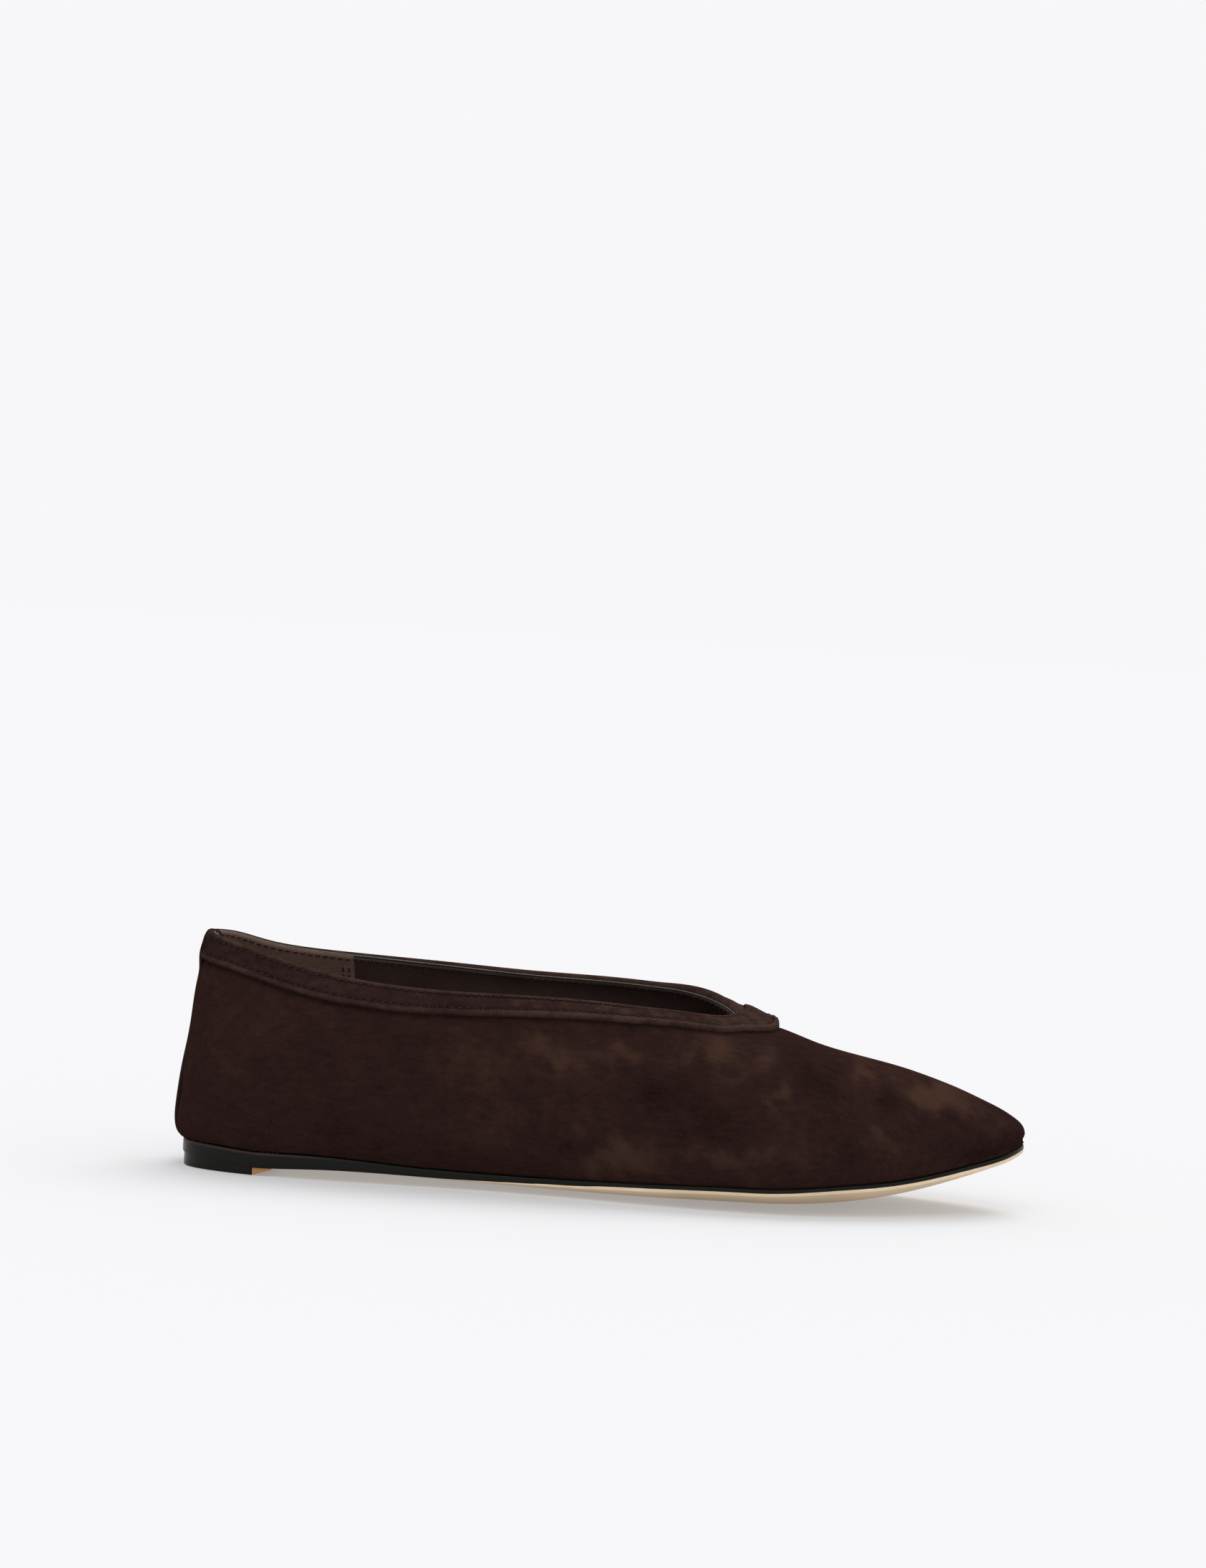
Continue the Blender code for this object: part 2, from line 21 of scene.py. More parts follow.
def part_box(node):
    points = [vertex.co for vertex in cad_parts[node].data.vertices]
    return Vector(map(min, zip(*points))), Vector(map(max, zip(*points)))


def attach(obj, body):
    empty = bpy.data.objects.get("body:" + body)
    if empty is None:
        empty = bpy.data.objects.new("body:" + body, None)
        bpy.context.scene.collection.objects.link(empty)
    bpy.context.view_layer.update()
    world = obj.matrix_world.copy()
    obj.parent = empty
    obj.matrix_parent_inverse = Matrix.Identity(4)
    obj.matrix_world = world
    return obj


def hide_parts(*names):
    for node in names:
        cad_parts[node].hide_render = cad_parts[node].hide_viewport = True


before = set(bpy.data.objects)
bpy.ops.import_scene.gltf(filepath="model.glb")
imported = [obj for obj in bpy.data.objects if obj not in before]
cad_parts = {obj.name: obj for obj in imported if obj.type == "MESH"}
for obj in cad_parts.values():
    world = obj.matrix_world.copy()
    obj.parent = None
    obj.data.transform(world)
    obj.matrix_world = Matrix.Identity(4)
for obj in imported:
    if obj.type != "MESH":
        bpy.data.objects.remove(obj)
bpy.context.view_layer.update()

LOG = logging.getLogger("ballet_flat")
BODY = "root"
WELD = 1e-6
UP = np.array((0.0, 0.0, 1.0))
Colour = tuple[float, float, float]


class Side(Enum):
    """The two sides of the shoe, as the sign of their places."""

    OUTER = -1
    INNER = 1


class Foot(NamedTuple):
    """The foot of one section of the wall.

    along is a share of the length; outer and inner are shares of width; rise is a share of the
    climb of the sole's edge; lean is in degrees; pull is a share of the section's reach.
    """

    along: float
    width: float
    outer: float
    inner: float
    rise: float
    lean: float
    pull: float


class Top(NamedTuple):
    """One row of the edge of the opening, with the depth of its band."""

    along: float
    outer: float
    inner: float
    high_outer: float
    high_inner: float
    lean: float
    pull: float
    band: float


class Ridge(NamedTuple):
    """One row of the ridge of the vamp, from the throat to where the toe turns down."""

    along: float
    high: float
    shift: float
    pull: float


class Thickness(NamedTuple):
    """The sole's thickness at one share of the length, as a share of its edge's size."""

    along: float
    share: float


HEEL_WIDTH = 0.054
BALL_WIDTH = 0.079
FOOT_ROWS = (
    Foot(0.0115, HEEL_WIDTH, 0.000, 0.000, 0.00, 8, 0.12),
    Foot(0.0205, HEEL_WIDTH, 0.220, 0.220, 0.00, 14, 0.14),
    Foot(0.0510, HEEL_WIDTH, 0.356, 0.356, 0.00, 27, 0.20),
    Foot(0.1020, HEEL_WIDTH, 0.454, 0.454, 0.00, 46, 0.22),
    Foot(0.1800, HEEL_WIDTH, 0.509, 0.491, 0.20, 48, 0.24),
    Foot(0.3000, HEEL_WIDTH, 0.500, 0.430, 0.29, 53, 0.25),
    Foot(0.4000, BALL_WIDTH, 0.348, 0.250, 0.32, 55, 0.27),
    Foot(0.5000, BALL_WIDTH, 0.405, 0.270, 0.45, 57, 0.28),
    Foot(0.5700, BALL_WIDTH, 0.456, 0.336, 0.58, 58, 0.29),
    Foot(0.6300, BALL_WIDTH, 0.488, 0.414, 0.68, 59, 0.30),
    Foot(0.6700, BALL_WIDTH, 0.498, 0.458, 0.72, 60, 0.32),
    Foot(0.7000, BALL_WIDTH, 0.500, 0.483, 0.74, 61, 0.33),
    Foot(0.7350, BALL_WIDTH, 0.490, 0.502, 0.785, 62, 0.35),
    Foot(0.7900, BALL_WIDTH, 0.440, 0.492, 0.80, 64, 0.36),
    Foot(0.8450, BALL_WIDTH, 0.356, 0.440, 0.635, 67, 0.37),
    Foot(0.9000, BALL_WIDTH, 0.252, 0.362, 0.45, 71, 0.38),
    Foot(0.9480, BALL_WIDTH, 0.140, 0.280, 0.22, 76, 0.38),
    Foot(0.9830, BALL_WIDTH, 0.020, 0.190, 0.00, 82, 0.36),
    Foot(0.9980, BALL_WIDTH, -0.095, 0.095, 0.00, 88, 0.35),
)
TOP_ROWS = (
    Top(0.0325, 0.000, 0.000, 1.000, 1.000, 86, 0.40, 1.00),
    Top(0.0375, 0.124, 0.124, 0.980, 0.985, 83, 0.40, 1.00),
    Top(0.0560, 0.222, 0.222, 0.910, 0.930, 76, 0.39, 1.00),
    Top(0.0920, 0.301, 0.301, 0.765, 0.775, 74, 0.39, 1.00),
    Top(0.1650, 0.391, 0.391, 0.480, 0.640, 67, 0.34, 1.00),
    Top(0.3000, 0.460, 0.460, 0.255, 0.530, 48, 0.26, 0.93),
    Top(0.4000, 0.475, 0.475, 0.250, 0.455, 38, 0.25, 0.86),
    Top(0.4900, 0.462, 0.462, 0.225, 0.430, 31, 0.26, 0.82),
    Top(0.5500, 0.415, 0.415, 0.160, 0.400, 26, 0.29, 0.83),
    Top(0.6050, 0.305, 0.305, 0.075, 0.325, 20, 0.34, 0.92),
    Top(0.6400, 0.155, 0.155, 0.000, 0.165, 13, 0.41, 1.24),
    Top(0.6600, 0.000, 0.000, 0.000, 0.000, 4, 0.46, 1.74),
)
RIDGE_ROWS = (
    Ridge(0.660, 1.000, 0.00, 0.46),
    Ridge(0.703, 0.872, 0.05, 0.43),
    Ridge(0.750, 0.680, 0.18, 0.42),
    Ridge(0.805, 0.520, 0.38, 0.41),
    Ridge(0.855, 0.380, 0.58, 0.43),
    Ridge(0.900, 0.210, 0.78, 0.45),
    Ridge(0.926, 0.090, 0.92, 0.45),
    Ridge(0.943, 0.000, 1.00, 0.45),
)
SOLE_ROWS = (
    Thickness(0.00, 1.60),
    Thickness(0.09, 1.95),
    Thickness(0.16, 1.78),
    Thickness(0.27, 1.15),
    Thickness(0.40, 0.96),
    Thickness(0.70, 0.88),
    Thickness(0.90, 0.93),
    Thickness(1.00, 1.00),
)
THROAT_ROW = len(TOP_ROWS) - 1


def spline(knots: np.ndarray, values: np.ndarray, at: np.ndarray) -> np.ndarray:
    """Read a natural cubic spline.

    Between two knots the curve is the cubic whose second derivative runs straight from one
    knot's bend to the next one's, and the bends come from one solve of the usual band matrix.

    Args:
        knots: Where the values are, rising.
        values: One row for each knot.
        at: Where to read.

    Returns:
        One row for each place in at.
    """
    step = np.diff(knots)
    slope = np.diff(values, axis=0) / step[:, None]
    matrix = np.eye(len(knots))
    inner = np.arange(1, len(knots) - 1)
    matrix[inner, inner - 1] = step[:-1]
    matrix[inner, inner] = 2.0 * (step[:-1] + step[1:])
    matrix[inner, inner + 1] = step[1:]
    right = np.zeros_like(values)
    right[1:-1] = 6.0 * np.diff(slope, axis=0)
    bend = np.linalg.solve(matrix, right)
    cell = np.clip(np.searchsorted(knots, at) - 1, 0, len(knots) - 2)
    width = step[cell][:, None]
    after = (at - knots[cell])[:, None]
    before = width - after
    curved = (bend[cell] * before**3 + bend[cell + 1] * after**3) / (6.0 * width)
    low = (values[cell] / width - bend[cell] * width / 6.0) * before
    high = (values[cell + 1] / width - bend[cell + 1] * width / 6.0) * after
    return curved + low + high


def unit(vectors: np.ndarray) -> np.ndarray:
    """Scale each vector of the last axis to a length of 1."""
    return vectors / np.maximum(np.linalg.norm(vectors, axis=-1, keepdims=True), 1e-12)


@dataclass(frozen=True)
class Last:
    """The form of the shoe: its foot line, edge of the opening, ridge and sole.

    Every surface is a whole-array function of the place on the loop and a second parameter.
    """

    length: float = 0.2555
    opening_width: float = 0.0564
    back_height: float = 0.0700
    apex_height: float = 0.0540
    toe_top_height: float = 0.0333
    toe_spring: float = 0.0186
    toe_bias: float = 0.0075
    band_width: float = 0.0084
    sole_edge: float = 0.0024
    edge_rise: float = 0.0072
    lift_back: float = 0.0037
    lift_front: float = 0.0019
    breast: float = 0.0272
    gap: float = 0.0003
    tread_back: float = 0.585
    tread_front: float = 0.700
    tread_half: float = 0.20
    spine_back: float = 0.095
    spine_front: float = 0.915
    toe_power: float = 2.15
    waist_power: float = 1.5
    edge_power: float = 1.7
    tab_power: float = 0.4
    throat_blend: float = 4.0
    counter_swell: float = 0.00135
    counter_height: float = 0.0540
    counter_half: float = 0.0130
    heel_hollow: float = 0.00080
    heel_height: float = 0.0190
    heel_half: float = 0.0100
    soft_reach: tuple[float, float] = (0.03, 0.15)
    samples: int = 150
    reach_step: float = 2e-4
    throat_fade: float = 0.004
    shift: tuple[float, float] = (0.0, 0.0)
    places: np.ndarray = field(init=False, repr=False)

    def __post_init__(self) -> None:
        """Give each row its place: the mean run of both sides of the sole's outline."""
        runs = [np.linalg.norm(np.diff(self.foot_rows(side)[:, :2], axis=0), axis=1) for side in Side]
        object.__setattr__(self, "places", np.append(0.0, np.cumsum(np.mean(runs, axis=0))))

    @property
    def tip(self) -> float:
        """The place of the tip of the toe."""
        return self.places[-1]

    @property
    def throat(self) -> float:
        """The place where the two sides of the opening meet."""
        return self.places[THROAT_ROW]

    @property
    def tab(self) -> float:
        """The place of the end of the band's tab."""
        return self.places[THROAT_ROW + 1]

    def foot_rows(self, side: Side) -> np.ndarray:
        """List the foot rows of one side: x, y, rise, lean and pull."""
        rows = np.array(FOOT_ROWS)
        across = rows[:, 2] if side is Side.OUTER else rows[:, 3]
        return np.column_stack((rows[:, 0] * self.length, side.value * across * rows[:, 1], rows[:, 4:]))

    def top_rows(self, side: Side) -> np.ndarray:
        """List the rows of the opening of one side: x, y, z, lean, pull and band depth."""
        rows = np.array(TOP_ROWS)
        across, high = (rows[:, 1], rows[:, 3]) if side is Side.OUTER else (rows[:, 2], rows[:, 4])
        height = self.apex_height + high * (self.back_height - self.apex_height)
        level = (rows[:, 0] * self.length, side.value * across * self.opening_width)
        return np.column_stack((*level, height, rows[:, 5:]))

    def foot(self, places: np.ndarray) -> np.ndarray:
        """Read the foot line, which closes smoothly over the tip: x, y, rise, lean and pull."""
        outer, inner = self.foot_rows(Side.OUTER), self.foot_rows(Side.INNER)
        over = slice(-4, -1)
        beyond = 2.0 * self.tip - self.places[over][::-1]
        knots = np.concatenate((-beyond[::-1], -self.places[:0:-1], self.places, beyond))
        values = np.concatenate((inner[over], outer[:0:-1], inner, outer[over][::-1]))
        return spline(knots, values, places)

    def tread_height(self, x: np.ndarray) -> np.ndarray:
        """Give the height of the sole's underside on its middle line, at each x."""
        back, front = self.tread_back * self.length, self.tread_front * self.length
        rise = self.lift_front + self.gap
        slope = (self.lift_front - self.lift_back) / (self.breast - FOOT_ROWS[0].along * self.length)
        waist = rise * np.clip((back - x) / (back - self.breast), 0.0, 1.0) ** self.waist_power
        toe = np.clip((x - front) / (self.length - front), 0.0, None) ** self.toe_power
        return np.where(x < self.breast, rise + slope * (x - self.breast), waist) + self.toe_spring * toe

    def sole_depth(self, x: np.ndarray) -> np.ndarray:
        """Give the thickness of the sole at each x."""
        rows = np.array(SOLE_ROWS)
        thick = spline(rows[:, 0] * self.length, rows[:, 1:] * self.sole_edge, np.ravel(x))
        return thick.reshape(np.shape(x))

    def columns(self, count: int, reach: float) -> np.ndarray:
        """List places from one side to the other, the same on both sides, with the throat among them.

        Args:
            count: How many steps lie on each side.
            reach: The place of the last one.

        Returns:
            The places, rising.
        """
        half = np.linspace(0.0, reach, count + 1)
        if reach > self.throat:
            half[np.abs(half - self.throat).argmin()] = self.throat
        return np.concatenate((-half[:0:-1], half))

    def plan(
        self, places: np.ndarray, share: np.ndarray, inset: float, spine: np.ndarray | None = None
    ) -> tuple[np.ndarray, np.ndarray]:
        """Spread a sheet over the sole, from its outline to its spine.

        A share of 0 is on the outline, moved in by the inset, and a share of 1 is on the spine.
        The underside climbs to the edge by a power of how near the point is to the outline.

        Args:
            places: The place of each column, the same on both sides.
            share: How far each row lies on its way to the spine.
            inset: How far the sheet stays inside the outline.
            spine: Where each column ends, or the sole's own middle line.

        Returns:
            Level points as columns by rows by 2, and the height of the underside at each.
        """
        values = self.foot(places)
        level = values[:, :2]
        if spine is None:
            first = FOOT_ROWS[0].along
            middle = (level + level[::-1]) / 2.0
            reach = (self.spine_front - self.spine_back) / (1.0 - first)
            spine_x = self.length * self.spine_back + (middle[:, 0] - self.length * first) * reach
            spine = np.column_stack((spine_x, middle[:, 1]))
        inward = spine - level
        start = (inset / -(inward * self.outward(places)[:, :2]).sum(axis=1))[:, None]
        whole = start + (1.0 - start) * share
        points = level[:, None] + whole[..., None] * inward[:, None]
        climb = np.clip(1.0 - whole / (1.0 - self.tread_half), 0.0, 1.0) ** self.edge_power
        return points, self.tread_height(points[..., 0]) + self.edge_rise * values[:, 2:3] * climb

    def outward(self, places: np.ndarray) -> np.ndarray:
        """Give the level direction that points out of the sole's outline at each place."""
        step = self.reach_step
        run = unit(self.foot(places + step)[:, :2] - self.foot(places - step)[:, :2])
        return np.column_stack((-run[:, 1], run[:, 0], np.zeros(len(run))))

    def ridge(self, places: np.ndarray) -> np.ndarray:
        """Read the ridge of the vamp at places beyond the throat: x, y, z and pull."""
        rows = np.array(RIDGE_ROWS)
        height = self.toe_top_height + rows[:, 1] * (self.apex_height - self.toe_top_height)
        values = np.column_stack((rows[:, 0] * self.length, rows[:, 2] * self.toe_bias, height, rows[:, 3]))
        return spline(self.places[THROAT_ROW:], values, places)

    def top(self, places: np.ndarray) -> tuple[np.ndarray, np.ndarray, np.ndarray, np.ndarray, np.ndarray]:
        """Place the top of the wall, on the opening's edge or on the ridge.

        Args:
            places: Places on the loop.

        Returns:
            The points, the directions ahead, the leans, the pulls and the band's depths.
        """
        throat, tab = self.throat, self.tab
        knots = np.concatenate((-self.places[THROAT_ROW:0:-1], self.places[: THROAT_ROW + 1]))
        values = np.concatenate((self.top_rows(Side.OUTER)[:0:-1], self.top_rows(Side.INNER)))
        edge = spline(knots, values, np.clip(places, -throat, throat))
        beyond = np.clip(np.abs(places), throat, self.tip)
        ridge = self.ridge(beyond)
        forward = unit(ridge[:, :3] - self.ridge(beyond - 1e-5)[:, :3])
        on_ridge = np.abs(places) > throat
        blend = np.clip(np.abs(places) / throat, 0.0, 1.0)[:, None] ** self.throat_blend
        ahead = np.array((1.0, 0.0, 0.0)) * (1.0 - blend) + forward * blend
        share = np.clip((tab - beyond) / (tab - throat), 0.0, 1.0)
        lean = np.where(on_ridge, TOP_ROWS[-1].lean * share, edge[:, 3])
        band = np.where(on_ridge, TOP_ROWS[-1].band * share**self.tab_power, edge[:, 5])
        point = np.where(on_ridge[:, None], ridge[:, :3], edge[:, :3])
        pull = np.where(on_ridge, ridge[:, 3], edge[:, 4])
        return point, ahead, lean, pull, band * self.band_width

    def sections(self, places: np.ndarray) -> np.ndarray:
        """Sample each section of the wall, from its top to its foot.

        A section is one cubic curve. Its handles leave the foot and the top at their leans, and
        are as long as their pulls times the straight reach between the two ends.
        """
        base = self.foot(places)
        x, y = base[:, 0], base[:, 1]
        height = self.tread_height(x) + self.edge_rise * base[:, 2] + self.sole_depth(x) + self.gap
        foot = np.column_stack((x, y, height))
        top, ahead, lean, pull, _ = self.top(places)
        out = self.outward(places)
        reach = np.linalg.norm(top - foot, axis=1)[:, None]
        low_angle, high_angle = np.radians(base[:, 3:4]), np.radians(lean)[:, None]
        level = out[:, :1] * ahead + out * np.array((0.0, 1.0, 0.0))
        low = foot + (np.cos(low_angle) * out + np.sin(low_angle) * UP) * base[:, 4:5] * reach
        high = top + (np.cos(high_angle) * level - np.sin(high_angle) * UP) * pull[:, None] * reach
        share = np.linspace(0.0, 1.0, self.samples + 1)[None, :, None]
        rest = 1.0 - share
        ends = rest**3 * top[:, None] + share**3 * foot[:, None]
        curves = ends + 3.0 * rest * share * (rest * high[:, None] + share * low[:, None])
        return curves + out[:, None] * self.softness(curves)[..., None]

    def softness(self, points: np.ndarray) -> np.ndarray:
        """Work out how far the soft back of the heel stands out of its form.

        It is a bell curve of the height less a lower one, and fades out forward along the sides.
        """
        swell = self.counter_swell * bell(points[..., 2] - self.counter_height, self.counter_half)
        hollow = self.heel_hollow * bell(points[..., 2] - self.heel_height, self.heel_half)
        return (swell - hollow) * (1.0 - smooth_step(points[..., 0] / self.length, *self.soft_reach))

    def lengths(self, places: np.ndarray) -> np.ndarray:
        """Measure each section of the wall along its curve."""
        return np.linalg.norm(np.diff(self.sections(places), axis=1), axis=2).sum(axis=1)

    def rows_down(
        self, places: np.ndarray, rows: int, top: float, reach: float = 0.0, crowd: float = 1.0
    ) -> np.ndarray:
        """List the depths of a sheet's rows, from near the opening to the foot.

        Args:
            places: The place of each column.
            rows: How many rows there are.
            top: How far below the opening's edge the first one lies, which fades out on the ridge.
            reach: How far past the foot the last one lies.
            crowd: The power of their even shares; above 1 they crowd towards the top.

        Returns:
            The depths, as columns by rows.
        """
        open_share = 1.0 - smooth_step(np.abs(places), self.throat - self.throat_fade, self.throat)
        start = (top * open_share)[:, None]
        share = np.linspace(0.0, 1.0, rows)[None, :] ** crowd
        return start + (self.lengths(places)[:, None] + reach - start) * share

    def wall(self, places: np.ndarray, depths: np.ndarray) -> np.ndarray:
        """Find points of the wall's outer side.

        Each depth is found on its own section by the run of the curve down to it, and a depth
        above the top or below the foot lies straight on from the section's end.

        Args:
            places: n places on the loop.
            depths: n rows of m depths.

        Returns:
            Points, as n by m by 3.
        """
        curves = self.sections(places)
        steps = np.linalg.norm(np.diff(curves, axis=1), axis=2)
        runs = np.pad(np.cumsum(steps, axis=1), ((0, 0), (1, 0)))
        cell = (runs[:, None, 1:-1] <= depths[:, :, None]).sum(axis=2)
        rows = np.arange(len(places))[:, None]
        share = (depths - runs[rows, cell]) / steps[rows, cell]
        start, end = curves[rows, cell], curves[rows, cell + 1]
        return start + share[..., None] * (end - start)

    def normals(self, places: np.ndarray, depths: np.ndarray) -> np.ndarray:
        """Give the direction that stands out of the wall, square to its runs both ways."""
        step = self.reach_step
        run = self.wall(places + step, depths) - self.wall(places - step, depths)
        rise = self.wall(places, depths - step) - self.wall(places, depths + step)
        return unit(np.cross(rise, run))

    def skin(self, places: np.ndarray, depths: np.ndarray, offsets: np.ndarray | float) -> np.ndarray:
        """Find points that stand off the wall by offsets, in the frame's own place."""
        offsets = np.broadcast_to(offsets, depths.shape)[..., None]
        points = self.wall(places, depths) + self.normals(places, depths) * offsets
        return self.placed(points)

    def placed(self, points: np.ndarray) -> np.ndarray:
        """Move points from the shoe's own sizes to their place in the frame."""
        return points + np.array((*self.shift, 0.0))


class Patch(NamedTuple):
    """One place of the suede whose nap lies another way: lighter above 0, darker below 0."""

    along: float
    high: float
    half_long: float
    half_tall: float
    strength: float


OUTER_PATCHES = (
    Patch(0.442, 0.0423, 0.0095, 0.0050, 0.80),
    Patch(0.543, 0.0430, 0.0110, 0.0030, 0.75),
    Patch(0.627, 0.0460, 0.0065, 0.0045, 0.80),
    Patch(0.692, 0.0450, 0.0060, 0.0035, 0.85),
    Patch(0.714, 0.0330, 0.0028, 0.0045, 0.80),
    Patch(0.531, 0.0135, 0.0110, 0.0048, 1.00),
    Patch(0.660, 0.0165, 0.0120, 0.0028, 0.75),
    Patch(0.813, 0.0390, 0.0085, 0.0030, 0.85),
    Patch(0.872, 0.0355, 0.0070, 0.0030, 0.80),
    Patch(0.905, 0.0330, 0.0110, 0.0045, 0.90),
    Patch(0.840, 0.0230, 0.0080, 0.0030, 0.45),
    Patch(0.955, 0.0270, 0.0060, 0.0025, 0.60),
    Patch(0.480, 0.0235, 0.0080, 0.0060, 0.35),
    Patch(0.370, 0.0390, 0.0100, 0.0060, 0.25),
    Patch(0.633, 0.0265, 0.0075, 0.0070, -0.90),
    Patch(0.560, 0.0330, 0.0130, 0.0060, -0.55),
    Patch(0.750, 0.0390, 0.0110, 0.0050, -0.85),
    Patch(0.832, 0.0345, 0.0050, 0.0050, -0.80),
    Patch(0.793, 0.0200, 0.0040, 0.0060, -0.60),
    Patch(0.891, 0.0275, 0.0080, 0.0030, -0.65),
    Patch(0.480, 0.0170, 0.0090, 0.0030, -0.50),
    Patch(0.940, 0.0190, 0.0090, 0.0040, -0.40),
    Patch(0.120, 0.0150, 0.0200, 0.0080, -0.40),
    Patch(0.060, 0.0330, 0.0025, 0.0090, 0.40),
)
INNER_PATCHES = (
    Patch(0.300, 0.0300, 0.0150, 0.0060, 0.45),
    Patch(0.455, 0.0400, 0.0120, 0.0050, 0.70),
    Patch(0.520, 0.0200, 0.0100, 0.0060, 0.60),
    Patch(0.640, 0.0330, 0.0110, 0.0050, 0.75),
    Patch(0.730, 0.0240, 0.0090, 0.0040, 0.60),
    Patch(0.800, 0.0370, 0.0100, 0.0040, 0.80),
    Patch(0.890, 0.0290, 0.0090, 0.0040, 0.75),
    Patch(0.400, 0.0180, 0.0140, 0.0050, -0.60),
    Patch(0.580, 0.0300, 0.0100, 0.0060, -0.70),
    Patch(0.700, 0.0380, 0.0080, 0.0040, -0.70),
    Patch(0.850, 0.0250, 0.0100, 0.0040, -0.70),
    Patch(0.150, 0.0250, 0.0180, 0.0100, -0.35),
)


class Crease(NamedTuple):
    """One soft trough of the suede, or a ridge where its depth is below 0.

    It runs between two points, each a share of the length and a height above the foot.
    """

    side: Side
    from_along: float
    from_high: float
    to_along: float
    to_high: float
    half_width: float
    depth: float


CREASES = (
    Crease(Side.OUTER, 0.930, 0.0026, 0.999, 0.0012, 0.0010, 0.00060),
    Crease(Side.INNER, 0.930, 0.0026, 0.999, 0.0012, 0.0010, 0.00060),
    Crease(Side.OUTER, 0.950, 0.0058, 0.999, 0.0048, 0.0028, -0.00050),
    Crease(Side.INNER, 0.950, 0.0058, 0.999, 0.0048, 0.0028, -0.00050),
    Crease(Side.OUTER, 0.872, 0.0160, 0.905, 0.0060, 0.0024, 0.00035),
    Crease(Side.OUTER, 0.790, 0.0240, 0.805, 0.0080, 0.0040, 0.00035),
    Crease(Side.OUTER, 0.735, 0.0300, 0.690, 0.0120, 0.0050, 0.00040),
    Crease(Side.OUTER, 0.700, 0.0330, 0.650, 0.0160, 0.0045, -0.00030),
    Crease(Side.OUTER, 0.560, 0.0300, 0.470, 0.0220, 0.0070, 0.00060),
    Crease(Side.OUTER, 0.400, 0.0300, 0.280, 0.0240, 0.0080, 0.00050),
    Crease(Side.OUTER, 0.330, 0.0120, 0.200, 0.0160, 0.0070, -0.00035),
    Crease(Side.OUTER, 0.075, 0.0420, 0.060, 0.0200, 0.0028, 0.00035),
    Crease(Side.INNER, 0.770, 0.0240, 0.800, 0.0080, 0.0040, 0.00040),
    Crease(Side.INNER, 0.720, 0.0300, 0.670, 0.0120, 0.0050, 0.00045),
    Crease(Side.INNER, 0.580, 0.0260, 0.450, 0.0180, 0.0070, 0.00060),
    Crease(Side.INNER, 0.400, 0.0320, 0.250, 0.0250, 0.0080, 0.00050),
)


def rounded(share: np.ndarray, power: float = 2.0) -> np.ndarray:
    """Give a rounded step: the height of a quarter superellipse, from 0 at a share of 0 to 1 at 1."""
    return np.clip(1.0 - (1.0 - np.clip(share, 0.0, 1.0)) ** power, 0.0, 1.0) ** (1.0 / power)


def bell(distance: np.ndarray, half_width: float) -> np.ndarray:
    """Give a bell curve of the distance, 1 in its middle."""
    return np.exp(-((distance / half_width) ** 2))


def smooth_step(value: np.ndarray, low: float, high: float) -> np.ndarray:
    """Rise smoothly from 0 where the value is low to 1 where it is high."""
    share = np.clip((value - low) / (high - low), 0.0, 1.0)
    return share * share * (3.0 - 2.0 * share)


def run_of(points: np.ndarray) -> np.ndarray:
    """Measure how far along a line each of its points lies."""
    return np.append(0.0, np.cumsum(np.linalg.norm(np.diff(points, axis=0), axis=1)))


def hang(name: str, data: bpy.types.ID) -> bpy.types.Object:
    """Make an object from its data and add it to the scene."""
    thing = bpy.data.objects.new(name, data)
    bpy.context.scene.collection.objects.link(thing)
    return thing


def smooth_piece(
    name: str,
    points: np.ndarray,
    faces: list[list[int]],
    marks: dict[str, np.ndarray | float],
    joined: bool = False,
    sharp: float = 180.0,
) -> bpy.types.Object:
    """Make one smooth piece, with its faces outwards.

    Args:
        name: The piece's name.
        points: Its points, as an array whose last axis is x, y and z.
        faces: The corners of each face.
        marks: Values of the points for the finishes, by name.
        joined: Whether points that lie on each other become one and open rings are filled.
        sharp: The angle in degrees past which an edge stays crisp.

    Returns:
        The new object.
    """
    mesh = bpy.data.meshes.new(name)
    mesh.from_pydata(points.reshape(-1, 3).tolist(), [], faces)
    for key, values in marks.items():
        layer = mesh.attributes.new(key, "FLOAT", "POINT")
        each = np.ravel(np.broadcast_to(values, points.shape[:-1]))
        layer.data.foreach_set("value", each.astype(np.float32))
    work = bmesh.new()
    work.from_mesh(mesh)
    if joined:
        bmesh.ops.remove_doubles(work, verts=work.verts, dist=WELD)
        bmesh.ops.dissolve_degenerate(work, edges=work.edges, dist=WELD)
        bmesh.ops.holes_fill(work, edges=work.edges, sides=0)
    bmesh.ops.recalc_face_normals(work, faces=work.faces)
    work.to_mesh(mesh)
    work.free()
    mesh.shade_smooth()
    mesh.set_sharp_from_angle(angle=math.radians(sharp))
    return hang(name, mesh)


